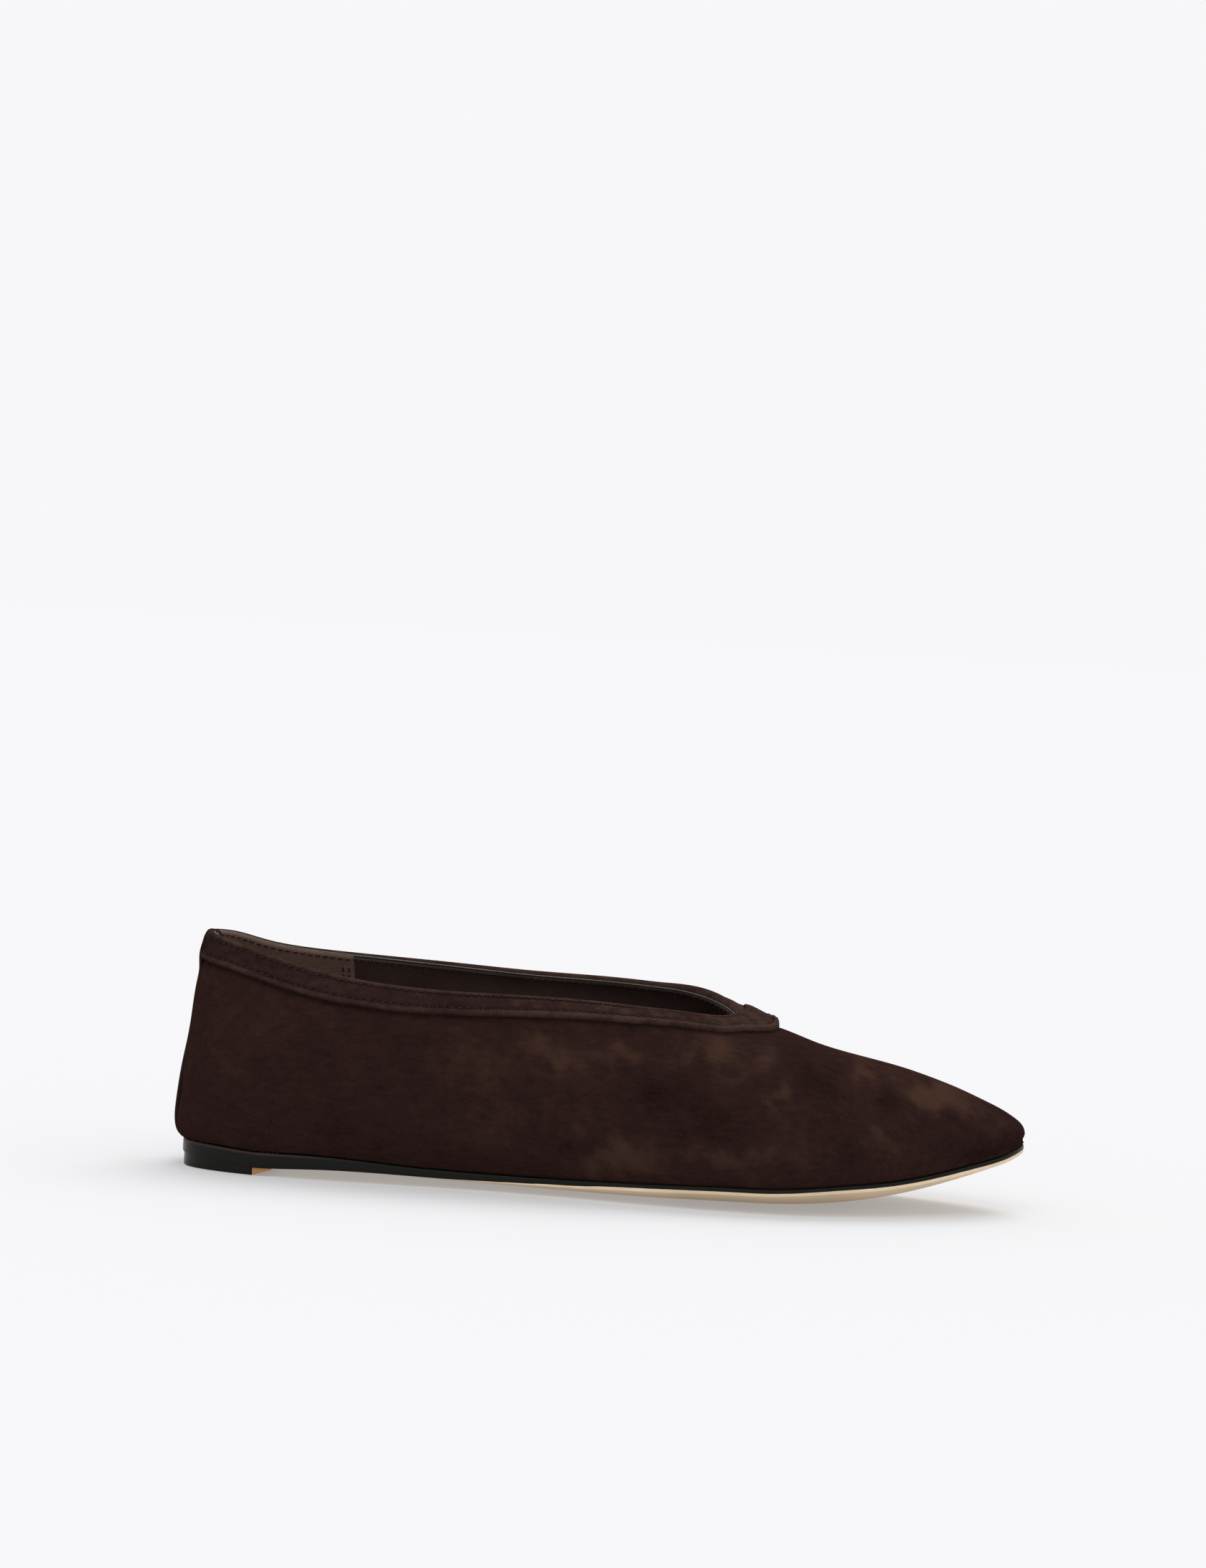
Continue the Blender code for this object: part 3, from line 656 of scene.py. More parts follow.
def closed_body(
    name: str,
    grid: np.ndarray,
    marks: dict[str, np.ndarray | float],
    closing: np.ndarray | None = None,
    sharp: float = 180.0,
) -> bpy.types.Object:
    """Make one closed piece from a grid whose last row meets its first.

    A cell joins a point to the next one along, the one after that and below, and the one below.

    Args:
        name: The piece's name.
        grid: Points as columns by rows by 3.
        marks: Values of the points for the finishes, by name.
        closing: Whether each column's last row meets its first; all of them do if it's left out.
        sharp: The angle in degrees past which an edge stays crisp.

    Returns:
        The new object, with its faces outwards.
    """
    columns, rows = grid.shape[:2]
    closing = np.ones(columns, bool) if closing is None else closing
    corners = np.arange(columns * rows).reshape(columns, rows)
    below = np.roll(corners, -1, axis=1)
    cells = np.stack((corners[:-1], corners[1:], below[1:], below[:-1]), axis=-1)
    closed = (closing[:-1] & closing[1:])[:, None] | (np.arange(rows) < rows - 1)
    return smooth_piece(name, grid, cells[closed].tolist(), marks, True, sharp)


def walled(
    name: str,
    last: Last,
    places: np.ndarray,
    sheets: tuple[np.ndarray, np.ndarray],
    nap: np.ndarray | float,
    pointed: bool = False,
) -> bpy.types.Object:
    """Close two sheets that run down the wall to one piece, whose opening stays open.

    Along the ridge of the vamp the first row of each column moves to the mean of itself and
    its mirror column, so the columns have to lie evenly on both sides of the centre back.

    Args:
        name: The piece's name.
        last: The form of the shoe.
        places: The place of each column.
        sheets: The outer and the inner sheet, as columns by rows by 3.
        nap: Where the outer sheet's nap lies light or dark.
        pointed: Whether the first and last columns draw together to one point.

    Returns:
        The new piece.
    """
    crest = np.abs(places) >= last.throat
    for sheet in sheets:
        sheet[crest, 0] = (sheet[crest, 0] + sheet[::-1][crest, 0]) / 2.0
        if pointed:
            sheet[[0, -1]] = sheet[[0, -1], :1]
    outside, inside = sheets
    marks = (np.broadcast_to(nap, outside.shape[:2]), np.zeros(inside.shape[:2]))
    grid = np.concatenate((outside, inside[:, ::-1]), axis=1)
    closing = np.abs(places) <= last.throat
    return closed_body(name, grid, {"patch": np.concatenate(marks, axis=1)}, closing)


def two_levels(plan: np.ndarray, low: np.ndarray, high: np.ndarray) -> tuple[np.ndarray, np.ndarray]:
    """Lay a level sheet at two heights, the lower from its middle out and the upper back in."""
    bottom = np.concatenate((plan, low[..., None]), axis=2)
    top = np.concatenate((plan, high[..., None]), axis=2)
    return bottom, top[:, ::-1]


def rounded_side(
    out: np.ndarray, bottom: np.ndarray, top: np.ndarray, rows: int, powers: tuple[float, float], reach: float
) -> tuple[np.ndarray, np.ndarray]:
    """Round the side between two sheets, as half a superellipse.

    Args:
        out: The direction out of the outline, for each column.
        bottom: The lower sheet, whose last row is its edge.
        top: The upper sheet, whose first row is its edge.
        rows: How many rows the side has.
        powers: The superellipse's powers, outwards and upwards.
        reach: How far the side stands out of the two edges.

    Returns:
        The side's points from the bottom up, and the share of the height of each row.
    """
    angle = np.linspace(-0.5 * math.pi, 0.5 * math.pi, rows + 2)[1:-1]
    swell = reach * np.abs(np.cos(angle)) ** powers[0]
    climb = 0.5 + 0.5 * np.sign(angle) * np.abs(np.sin(angle)) ** powers[1]
    low, high = bottom[:, -1][:, None], top[:, 0][:, None]
    return low + (high - low) * climb[:, None] + out[:, None] * swell[:, None], climb


def loose_edges(piece: bpy.types.Object) -> int:
    """Count the edges of a piece that don't join exactly two faces."""
    work = bmesh.new()
    work.from_mesh(piece.data)
    loose = sum(1 for edge in work.edges if len(edge.link_faces) != 2)
    work.free()
    return loose


class Wired(Protocol):
    """A finish that can be made into a material."""

    def make(self) -> bpy.types.Material:
        """Make the material."""


def dress(piece: bpy.types.Object, finish: Wired, slot: str, *nodes: str) -> bpy.types.Object:
    """Give a piece its finish, let it ride on the shoe, and let it stand for CAD nodes.

    Args:
        piece: The piece.
        finish: What it is finished with.
        slot: Not used.
        nodes: The CAD nodes that the piece stands for.

    Returns:
        The piece.
    """
    piece.data.materials.append(finish.make())
    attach(piece, BODY)
    if nodes:
        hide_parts(*nodes)
    faces = len(piece.data.polygons)
    LOG.info("%s: %d faces, %d loose edges", piece.name, faces, loose_edges(piece))
    return piece


class Socket:
    """One output of a material's nodes, which takes part in arithmetic."""

    def __init__(self, graph: "Graph", output: bpy.types.NodeSocket) -> None:
        """Hold the output and the graph that it belongs to."""
        self.graph = graph
        self.output = output

    def math(self, operation: str, *others: "Socket | float") -> "Socket":
        """Add one Math node.

        Args:
            operation: The node's operation.
            others: The values after this one.

        Returns:
            The node's result.
        """
        return self.graph.add("ShaderNodeMath", {"operation": operation}, dict(enumerate((self, *others))))

    def __add__(self, other: "Socket | float") -> "Socket":
        """Add."""
        return self.math("ADD", other)

    __radd__ = __add__

    def __mul__(self, other: "Socket | float") -> "Socket":
        """Multiply."""
        return self.math("MULTIPLY", other)

    __rmul__ = __mul__

    def __sub__(self, other: "Socket | float") -> "Socket":
        """Take another value from this one."""
        return self.math("SUBTRACT", other)

    def __rsub__(self, other: float) -> "Socket":
        """Take this value from a number."""
        return (self * -1.0) + other

    def step(self, low: float, high: float) -> "Socket":
        """Rise smoothly from 0 at low to 1 at high."""
        settings = {"interpolation_type": "SMOOTHSTEP"}
        values = {"Value": self, "From Min": low, "From Max": high, "To Min": 0.0, "To Max": 1.0}
        return self.graph.add("ShaderNodeMapRange", settings, values)

    def between(self, low: float, high: float) -> "Socket":
        """Spread this value from 0 and 1 onto low and high."""
        return self * (high - low) + low


class Graph:
    """The nodes of one material, round its Principled shader."""

    def __init__(self, name: str) -> None:
        """Make an empty material with its shader."""
        self.material = bpy.data.materials.new(name)
        self.material.use_nodes = True
        self.nodes = self.material.node_tree.nodes
        self.links = self.material.node_tree.links
        self.shader = self.nodes["Principled BSDF"]

    def add(
        self,
        kind: str,
        settings: dict[str, Any] | None = None,
        values: dict[str | int, Any] | None = None,
        output: str | int = 0,
    ) -> Socket:
        """Add a node.

        Args:
            kind: The node's type.
            settings: The node's own settings, which are set first.
            values: Values or links for its inputs, by name or number.
            output: The output that is wanted.

        Returns:
            That output.
        """
        node = self.nodes.new(kind)
        for key, value in (settings or {}).items():
            setattr(node, key, value)
        for key, value in (values or {}).items():
            self.feed(node, key, value)
        return Socket(self, node.outputs[output])

    def feed(self, node: bpy.types.Node, key: str | int, value: Any) -> None:
        """Link or set one input of a node."""
        if isinstance(value, Socket):
            self.links.new(value.output, node.inputs[key])
        else:
            node.inputs[key].default_value = value

    def coordinates(self) -> Socket:
        """Give each point's place on the object, in metres."""
        return self.add("ShaderNodeTexCoord", output="Object")

    def stretched(self, scale: tuple[float, float, float]) -> Socket:
        """Give the object's coordinates, stretched along each axis."""
        return self.add("ShaderNodeMapping", None, {"Vector": self.coordinates(), "Scale": scale})

    def mark(self, name: str) -> Socket:
        """Read a value that the mesh keeps for its points."""
        return self.add("ShaderNodeAttribute", {"attribute_name": name}, output="Fac")

    def noise(
        self, size: float, detail: float = 2.0, rough: float = 0.5, where: Socket | None = None
    ) -> Socket:
        """Add a cloudy pattern.

        Args:
            size: The size of its clouds, in metres.
            detail: How many finer layers lie on it.
            rough: How strong those are.
            where: The coordinates that it reads, or the object's own.

        Returns:
            The pattern, from 0 to 1.
        """
        where = where or self.coordinates()
        values = {"Vector": where, "Scale": 1.0 / size, "Detail": detail, "Roughness": rough}
        return self.add("ShaderNodeTexNoise", None, values)

    def cells(self, size: float) -> Socket:
        """Add a pattern of cells of about one size, read by the distance to their middles."""
        return self.add("ShaderNodeTexVoronoi", None, {"Vector": self.coordinates(), "Scale": 1.0 / size})

    def blend(self, share: Socket | float, first: Any, second: Any) -> Socket:
        """Mix two colours.

        Args:
            share: How much of the second shows.
            first: A colour or a link.
            second: A colour or a link.

        Returns:
            The mixed colour.
        """
        colours = {6: opaque(first), 7: opaque(second)}
        return self.add("ShaderNodeMix", {"data_type": "RGBA"}, {0: share, **colours}, output=2)

    def raise_by(self, height: Socket, distance: float, strength: float = 1.0) -> None:
        """Let a height pattern raise the surface by a distance in metres, through the normal."""
        values = {"Height": height, "Distance": distance, "Strength": strength}
        self.finish({"Normal": self.add("ShaderNodeBump", None, values)})

    def finish(self, values: dict[str, Any]) -> bpy.types.Material:
        """Set or link inputs of the shader, and give the material."""
        for key, value in values.items():
            self.feed(self.shader, key, value)
        return self.material


def opaque(colour: Any) -> Any:
    """Give a plain colour its alpha, and leave a link as it is."""
    return colour if isinstance(colour, Socket) else (*colour, 1.0)


@dataclass(frozen=True)
class Suede:
    """A soft brushed leather: clouds of light and dark nap over fine fibres."""

    name: str
    dark: Colour
    middle: Colour
    light: Colour
    cloud: float = 0.022
    mottle: float = 0.0035
    fibre: float = 0.00035
    nap_depth: float = 0.00022
    speck_shade: float = 0.40

    def make(self) -> bpy.types.Material:
        """Make the suede: its nap clouds over the listed patches, and its fibres raise it."""
        graph = Graph(self.name)
        clouds = graph.noise(self.cloud, 4.0, 0.62)
        mottle = graph.noise(self.mottle, 3.0, 0.6)
        fibre = graph.noise(self.fibre, 2.0, 0.6)
        brushed = graph.noise(0.0016, 3.0, 0.65, graph.stretched((0.35, 1.0, 1.0)))
        # The mark "patch" holds the listed nap patches and, on some pieces, painted highlights and painted
        # shade.
        nap = graph.mark("patch") + (clouds - 0.5) * 1.9 + (mottle - 0.5) * 0.75 + (brushed - 0.5) * 0.45
        lit = nap.step(-0.10, 1.05)
        shaded = (nap * -1.0).step(0.0, 0.80)
        colour = graph.blend(lit, self.middle, self.light)
        colour = graph.blend(shaded * 0.85, colour, self.dark)
        speck = (fibre - 0.5) * 0.9 + (brushed - 0.5) * 0.5 + 0.5
        colour = graph.blend(speck.step(0.15, 0.95) * 0.36, colour, self.light)
        darkest = tuple(self.speck_shade * part for part in self.dark)
        colour = graph.blend((1.0 - speck).step(0.45, 1.0) * 0.55, colour, darkest)
        height = fibre * 0.55 + brushed * 0.5 + mottle * 0.35
        graph.raise_by(height, self.nap_depth, 0.7)
        rough = lit.between(0.94, 0.86)
        return graph.finish({"Base Color": colour, "Roughness": rough, "Specular IOR Level": 0.0})


@dataclass(frozen=True)
class Leather:
    """A smooth leather with fine grain."""

    name: str
    colour: Colour
    shade: Colour
    roughness: float = 0.5
    grain: float = 0.0007
    grain_depth: float = 0.00006

    def make(self) -> bpy.types.Material:
        """Make the leather: soft clouds in its colour, and a grain of small cells."""
        graph = Graph(self.name)
        clouds = graph.noise(0.012, 4.0, 0.6)
        grain = graph.cells(self.grain)
        fine = graph.noise(0.0005, 2.0, 0.6)
        share = (clouds * 0.7 + grain * 0.35).step(0.25, 0.85)
        graph.raise_by(grain * 0.7 + fine * 0.5, self.grain_depth)
        rough = (clouds * 0.6 + fine * 0.4).between(self.roughness - 0.08, self.roughness + 0.10)
        colour = graph.blend(share, self.shade, self.colour)
        return graph.finish({"Base Color": colour, "Roughness": rough, "Specular IOR Level": 0.16})


@dataclass(frozen=True)
class PaintedSole:
    """Sole leather with a painted, burnished edge over a natural tread."""

    name: str
    paint: Colour = (0.0052, 0.0052, 0.0038)
    lip: Colour = (0.040, 0.024, 0.021)
    # The natural tread is lighter than bare sole leather: painted light on the underside, which lies in
    # shadow near the floor.
    natural: Colour = (0.80, 0.65, 0.47)
    natural_shade: Colour = (0.66, 0.51, 0.34)
    scuff: Colour = (0.40, 0.28, 0.18)

    def make(self) -> bpy.types.Material:
        """Make the sole: the mark "edge" is painted, "lip" is scuffed lighter, and the rest is natural."""
        graph = Graph(self.name)
        wobble = graph.noise(0.004, 3.0, 0.6)
        streaks = graph.noise(0.0016, 4.0, 0.65, graph.stretched((0.15, 1.0, 1.0)))
        fine = graph.noise(0.0004, 2.0, 0.6)
        painted = (graph.mark("edge") + (wobble - 0.5) * 0.25).step(0.42, 0.56)
        # The lip of the painted edge is scuffed lighter by wear.
        rub_and_painted_light = (graph.mark("lip") + (streaks - 0.5) * 0.7).step(0.35, 0.95)
        # The tread is scuffed by wear under the ball.
        wear_and_painted_light = (graph.mark("tread") * 0.8 + (streaks - 0.5) * 1.2).step(0.35, 1.1)
        natural = graph.blend((streaks * 0.7 + fine * 0.3).step(0.25, 0.8), self.natural_shade, self.natural)
        natural = graph.blend(wear_and_painted_light * 0.35, natural, self.scuff)
        paint = graph.blend(rub_and_painted_light * 0.9, self.paint, self.lip)
        height = streaks * 0.5 + fine * 0.5
        graph.raise_by(height, 0.00006)
        rough = (streaks - 0.5) * 0.18 + painted * -0.22 + rub_and_painted_light * 0.2 + 0.56
        return graph.finish(
            {
                "Base Color": graph.blend(painted, natural, paint),
                "Roughness": rough,
                "Specular IOR Level": 0.08,
                "Coat Weight": painted * 0.10,
                "Coat Roughness": 0.22,
            }
        )


@dataclass(frozen=True)
class Thread:
    """Twisted sewing thread."""

    name: str
    colour: Colour
    shade: Colour

    def make(self) -> bpy.types.Material:
        """Make the thread: fine streaks of two colours, with painted shade where the mark "end" is high."""
        graph = Graph(self.name)
        streaks = graph.noise(0.00018, 2.0, 0.6)
        tone = graph.noise(0.006, 2.0, 0.5)
        # Painted shade: the thread darkens towards each stitch's ends, where it sinks into its hole.
        share = (streaks * 0.5 + tone * 0.5 - graph.mark("end")).step(0.1, 0.75)
        graph.raise_by(streaks, 0.00005)
        colour = graph.blend(share, self.shade, self.colour)
        return graph.finish({"Base Color": colour, "Roughness": 0.75, "Specular IOR Level": 0.15})


@dataclass(frozen=True)
class Path:
    """A line on the shoe, with the direction out of the surface and the one across the line."""

    points: np.ndarray
    out: np.ndarray
    across: np.ndarray

    @classmethod
    def on(cls, points: np.ndarray, out: np.ndarray, looped: bool = False) -> "Path":
        """Lay a path through points.

        The across direction is square to the run of the line and to the surface, and points
        down the wall where the line runs from the outer side to the inner side.

        Args:
            points: The line's points.
            out: The direction out of the surface at each.
            looped: Whether the line's two ends meet, so that they share one frame.

        Returns:
            The path.
        """
        run = np.gradient(points, axis=0)
        if looped:
            run[0] = run[-1] = points[1] - points[0] + points[-1] - points[-2]
            out = out.copy()
            out[0] = out[-1] = out[0] + out[-1]
        run, out = unit(run), unit(out)
        across = unit(np.cross(out, run))
        return cls(points, unit(np.cross(run, across)), across)

    def carry(self, across: np.ndarray | float, off: np.ndarray | float) -> np.ndarray:
        """Carry a profile along the line.

        Args:
            across: How far each profile point lies across the line.
            off: How far it stands out of the surface.

        Returns:
            Points, one row of the profile for each point of the line.
        """
        across, off = np.atleast_1d(across), np.atleast_1d(off)
        moved = across[..., None] * self.across[:, None] + off[..., None] * self.out[:, None]
        return self.points[:, None] + moved

    def moved(self, across: np.ndarray | float, off: np.ndarray | float) -> "Path":
        """Give the same line, moved across and off the surface."""
        across, off = (np.broadcast_to(value, len(self.points))[:, None] for value in (across, off))
        return Path(self.points + across * self.across + off * self.out, self.out, self.across)

    def part(self, keep: np.ndarray) -> "Path":
        """Keep a part of the line."""
        return Path(self.points[keep], self.out[keep], self.across[keep])


def wall_path(last: Last, places: np.ndarray, depths: np.ndarray, looped: bool = False) -> Path:
    """Lay a path on the wall, at one depth for each place."""
    depths = depths[:, None]
    return Path.on(last.skin(places, depths, 0.0)[:, 0], last.normals(places, depths)[:, 0], looped)


def read(run: np.ndarray, values: np.ndarray, at: np.ndarray) -> np.ndarray:
    """Read vectors kept along a line at other distances along it."""
    return np.stack([np.interp(at, run, values[:, axis]) for axis in range(3)], axis=1)


def nearest(points: np.ndarray, line: np.ndarray) -> np.ndarray:
    """Measure how far each point of a grid lies from the nearest point of a line."""
    flat = points.reshape(-1, 3)
    squares = (flat**2).sum(axis=1)[:, None] + (line**2).sum(axis=1) - 2.0 * flat @ line.T
    return np.sqrt(np.maximum(squares.min(axis=1), 0.0)).reshape(points.shape[:-1])


@dataclass(frozen=True)
class SuedeUpper:
    """The suede wall of the shoe, cut away at the opening and lasted under at the sole."""

    last: Last
    finish: Suede
    thickness: float = 0.0010
    top_margin: float = 0.0010
    tuck: float = 0.00035
    tuck_height: float = 0.0010
    foot_reach: float = 0.0003
    # Painted shadow of the band on the suede below its lower edge: its strength here, its gap and half width
    # further on.
    painted_band_shadow: float = 0.9
    # Lightening of the nap along the ridge of the vamp: partly rubbed nap, partly a painted highlight on the
    # top of the vamp.
    rub_and_painted_light: float = 0.35
    crowd: float = 0.9
    foot_fade: float = 0.0008
    top_fade: float = 0.012
    band_least: float = 0.002
    band_shadow_gap: float = 0.0004
    band_shadow_half: float = 0.0008
    ridge_light_run: float = 0.010
    ridge_light_half: float = 0.0060
    columns: int = 260
    rows: int = 76
    inner_rows: int = 16
    roll: float = 0.00016

    def relief(self, places: np.ndarray, high: np.ndarray, points: np.ndarray) -> np.ndarray:
        """Work out how far the soft suede stands off its last.

        A crease is a bell curve of the distance to its line, and over the whole wall lies a
        slow roll, the product of two sines of the point's place.

        Args:
            places: The place of each column.
            high: The height of each point above the foot of its section.
            points: The points of the wall.

        Returns:
            The offset of each point.
        """
        x, y, z = np.moveaxis(points, -1, 0)
        rolling = np.sin(150.0 * x + 60.0 * z) * np.sin(190.0 * z + 110.0 * y + 1.3)
        offset = self.roll * rolling
        for crease in CREASES:
            start = np.array((crease.from_along * self.last.length, crease.from_high))
            reach = np.array((crease.to_along * self.last.length, crease.to_high)) - start
            share = ((x - start[0]) * reach[0] + (high - start[1]) * reach[1]) / (reach**2).sum()
            share = np.clip(share, 0.0, 1.0)
            away = np.hypot(x - start[0] - share * reach[0], high - start[1] - share * reach[1])
            here = (places * crease.side.value >= 0.0)[:, None]
            offset = offset - here * crease.depth * bell(away, crease.half_width)
        return offset

    def nap(self, points: np.ndarray) -> np.ndarray:
        """Mark where the nap lies light or dark.

        Each patch is a bell curve over its own half sizes, read at a point that slow sines push
        about, so that no patch is a plain oval.
        """
        x, y, z = np.moveaxis(points, -1, 0)
        warped_x = x + 0.0030 * np.sin(330.0 * z + 90.0 * x) + 0.0012 * np.sin(900.0 * z + 400.0 * x)
        warped_z = z + 0.0016 * np.sin(260.0 * x + 1.0) + 0.0009 * np.sin(820.0 * x + 300.0 * z)
        inner = smooth_step(y, -0.001, 0.006)
        total = np.zeros_like(x)
        for patches, share in ((OUTER_PATCHES, 1.0 - inner), (INNER_PATCHES, inner)):
            for patch in patches:
                wide = (warped_x - patch.along * self.last.length) / patch.half_long
                tall = (warped_z - patch.high) / patch.half_tall
                total += share * patch.strength * bell(np.hypot(wide, tall), 1.0)
        return total

    def build(self) -> bpy.types.Object:
        """Make the suede shell, from its cut edge down its outer side and back up inside."""
        last = self.last
        places = last.columns(self.columns, last.tip)
        depths = last.rows_down(places, self.rows, self.top_margin, self.foot_reach, self.crowd)
        points = last.wall(places, depths)
        high = depths[:, -1:] - depths
        relief = self.relief(places, high, points)
        relief *= smooth_step(high, 0.0, self.foot_fade) * smooth_step(depths, 0.0, self.top_fade)
        rounding = self.tuck * (1.0 - rounded(high / self.tuck_height))
        outside = last.skin(places, depths, relief - rounding)
        inner_depths = last.rows_down(places, self.inner_rows, self.top_margin, self.foot_reach)
        inside = last.skin(places, inner_depths, -self.thickness)
        banded = last.top(places)[4][:, None]
        # Painted shade: the nap darkens just below the band's lower edge, where the band casts its shadow.
        band_shadow = bell(depths - banded - self.band_shadow_gap, self.band_shadow_half)
        band_shadow = self.painted_band_shadow * smooth_step(banded, 0.0, self.band_least) * band_shadow
        # Partly rubbed nap and partly a painted highlight: the nap lightens along the ridge of the vamp,
        # beyond the tab.
        beyond = smooth_step(np.abs(places), last.tab, last.tab + self.ridge_light_run)[:, None]
        nap = self.nap(points) - band_shadow + self.rub_and_painted_light * beyond * bell(depths, self.ridge_light_half)
        piece = walled("suede_upper", last, places, (outside, inside), nap)
        return dress(piece, self.finish, "suede", "upper")


@dataclass(frozen=True)
class Lining:
    """The leather lining, and the suede grip inside the heel."""

    last: Last
    leather: Leather
    grip: Suede
    suede_thickness: float = 0.00105
    thickness: float = 0.00062
    grip_thickness: float = 0.00060
    grip_reach: float = 0.0400
    edge: float = 0.0005
    grip_edge: float = -0.0001
    seam_gap: float = 0.00005
    crowd: float = 1.3
    least: float = 0.02
    columns: int = 200
    rows: int = 44

    @property
    def inner_side(self) -> float:
        """The offset of the lining's inner side."""
        return -(self.suede_thickness + self.thickness)

    @property
    def grip_place(self) -> float:
        """The place of the grip's front edge, where the opening is that far from the back."""
        places = np.linspace(0.0, self.last.throat, 400)
        x = self.last.top(places)[0][:, 0]
        return float(np.interp(x[0] + self.grip_reach, x, places))

    def shell(
        self, name: str, places: np.ndarray, outer: float, inner: float, top: float
    ) -> bpy.types.Object:
        """Make a shell between two offsets, whose free edges are rounded.

        The two sides draw together over the edge's width by a quarter superellipse of the
        distance from the edge.

        Args:
            name: The piece's name.
            places: The place of each column.
            outer: The offset of its outer side.
            inner: The offset of its inner side.
            top: The depth of its upper edge.

        Returns:
            The new piece.
        """
        last, thick = self.last, outer - inner
        depths = last.rows_down(places, self.rows, top, crowd=self.crowd)
        away = np.abs(places[:, None])
        swell = np.where(away < last.throat, rounded((depths - depths[:, :1]) / thick), 1.0)
        if places[-1] < last.throat:
            swell = swell * rounded((places[-1] - away) / thick)
        outside = last.skin(places, depths, outer)
        inside = last.skin(places, depths, outer - thick * np.maximum(swell, self.least))
        return walled(name, last, places, (outside, inside), 0.0)

    def build(self) -> list[bpy.types.Object]:
        """Make the lining of the whole shoe and the grip that lies on it round the heel."""
        last = self.last
        whole = last.columns(self.columns, last.tip)
        lining = self.shell("lining", whole, -self.suede_thickness, self.inner_side, self.edge)
        near = last.columns(self.columns // 2, self.grip_place)
        inner = self.inner_side - self.grip_thickness
        grip = self.shell("heel_grip", near, self.inner_side + self.seam_gap, inner, self.grip_edge)
        return [dress(lining, self.leather, "lining"), dress(grip, self.grip, "lining")]


@dataclass(frozen=True)
class RolledEdge:
    """The suede rolled over the edge of the opening, and the trimmed edge of the lining in it."""

    last: Last
    finish: Suede
    # The trimmed edge's finish: its light grey colour is a painted highlight along the edge.
    trim_with_painted_highlight: Leather
    middle: tuple[float, float] = (0.00056, -0.00004)
    half: tuple[float, float] = (0.00090, 0.00102)
    trim_middle: tuple[float, float] = (0.00000, -0.00103)
    trim_half: tuple[float, float] = (0.00020, 0.00020)
    lift: float = 0.0012
    lift_run: float = 0.035
    lift_end: tuple[float, float] = (0.012, 0.010)
    # Painted highlight along the top of the rolled edge, partly worn nap.
    wear_and_painted_light: float = 0.55
    narrowing: float = 0.30
    narrowing_run: float = 0.020
    columns: int = 320
    turns: int = 20

    def tube(
        self, name: str, middle: tuple[float, float], half: tuple[float, float], lift: float
    ) -> bpy.types.Object:
        """Carry an oval round the edge of the opening.

        Args:
            name: The piece's name.
            middle: Where the oval's middle lies, down the wall and out of it.
            half: Its two half widths, the same way.
            lift: How much higher it stands on the inner side of the throat.

        Returns:
            The closed tube.
        """
        last, throat = self.last, self.last.throat
        places = last.columns(self.columns, throat)
        path = wall_path(last, places, np.zeros(len(places)), looped=True)
        angle = np.linspace(0.0, 2.0 * math.pi, self.turns, endpoint=False)
        narrow = smooth_step(np.abs(places), throat - self.narrowing_run, throat)
        thick = (1.0 - self.narrowing * narrow)[:, None]
        stretch = smooth_step(places, throat - self.lift_run, throat - self.lift_end[0])
        stretch = lift * stretch * (1.0 - smooth_step(places, throat - self.lift_end[1], throat))
        across = (middle[0] + half[0] * np.cos(angle)) * thick
        off = (middle[1] + half[1] * np.sin(angle)) * thick
        off = off + stretch[:, None] * np.clip(np.sin(angle), 0.0, None)
        # The whole rolled edge carries the same painted highlight in its mark.
        return closed_body(name, path.carry(across, off), {"patch": self.wear_and_painted_light})

    def build(self) -> list[bpy.types.Object]:
        """Make the rolled suede and the trimmed edge, whose light grey colour is a painted highlight."""
        rolled = self.tube("rolled_edge", self.middle, self.half, self.lift)
        trim_with_painted_highlight = self.tube("lining_edge", self.trim_middle, self.trim_half, 0.0)
        return [dress(rolled, self.finish, "band_suede"), dress(trim_with_painted_highlight, self.trim_with_painted_highlight, "lining")]


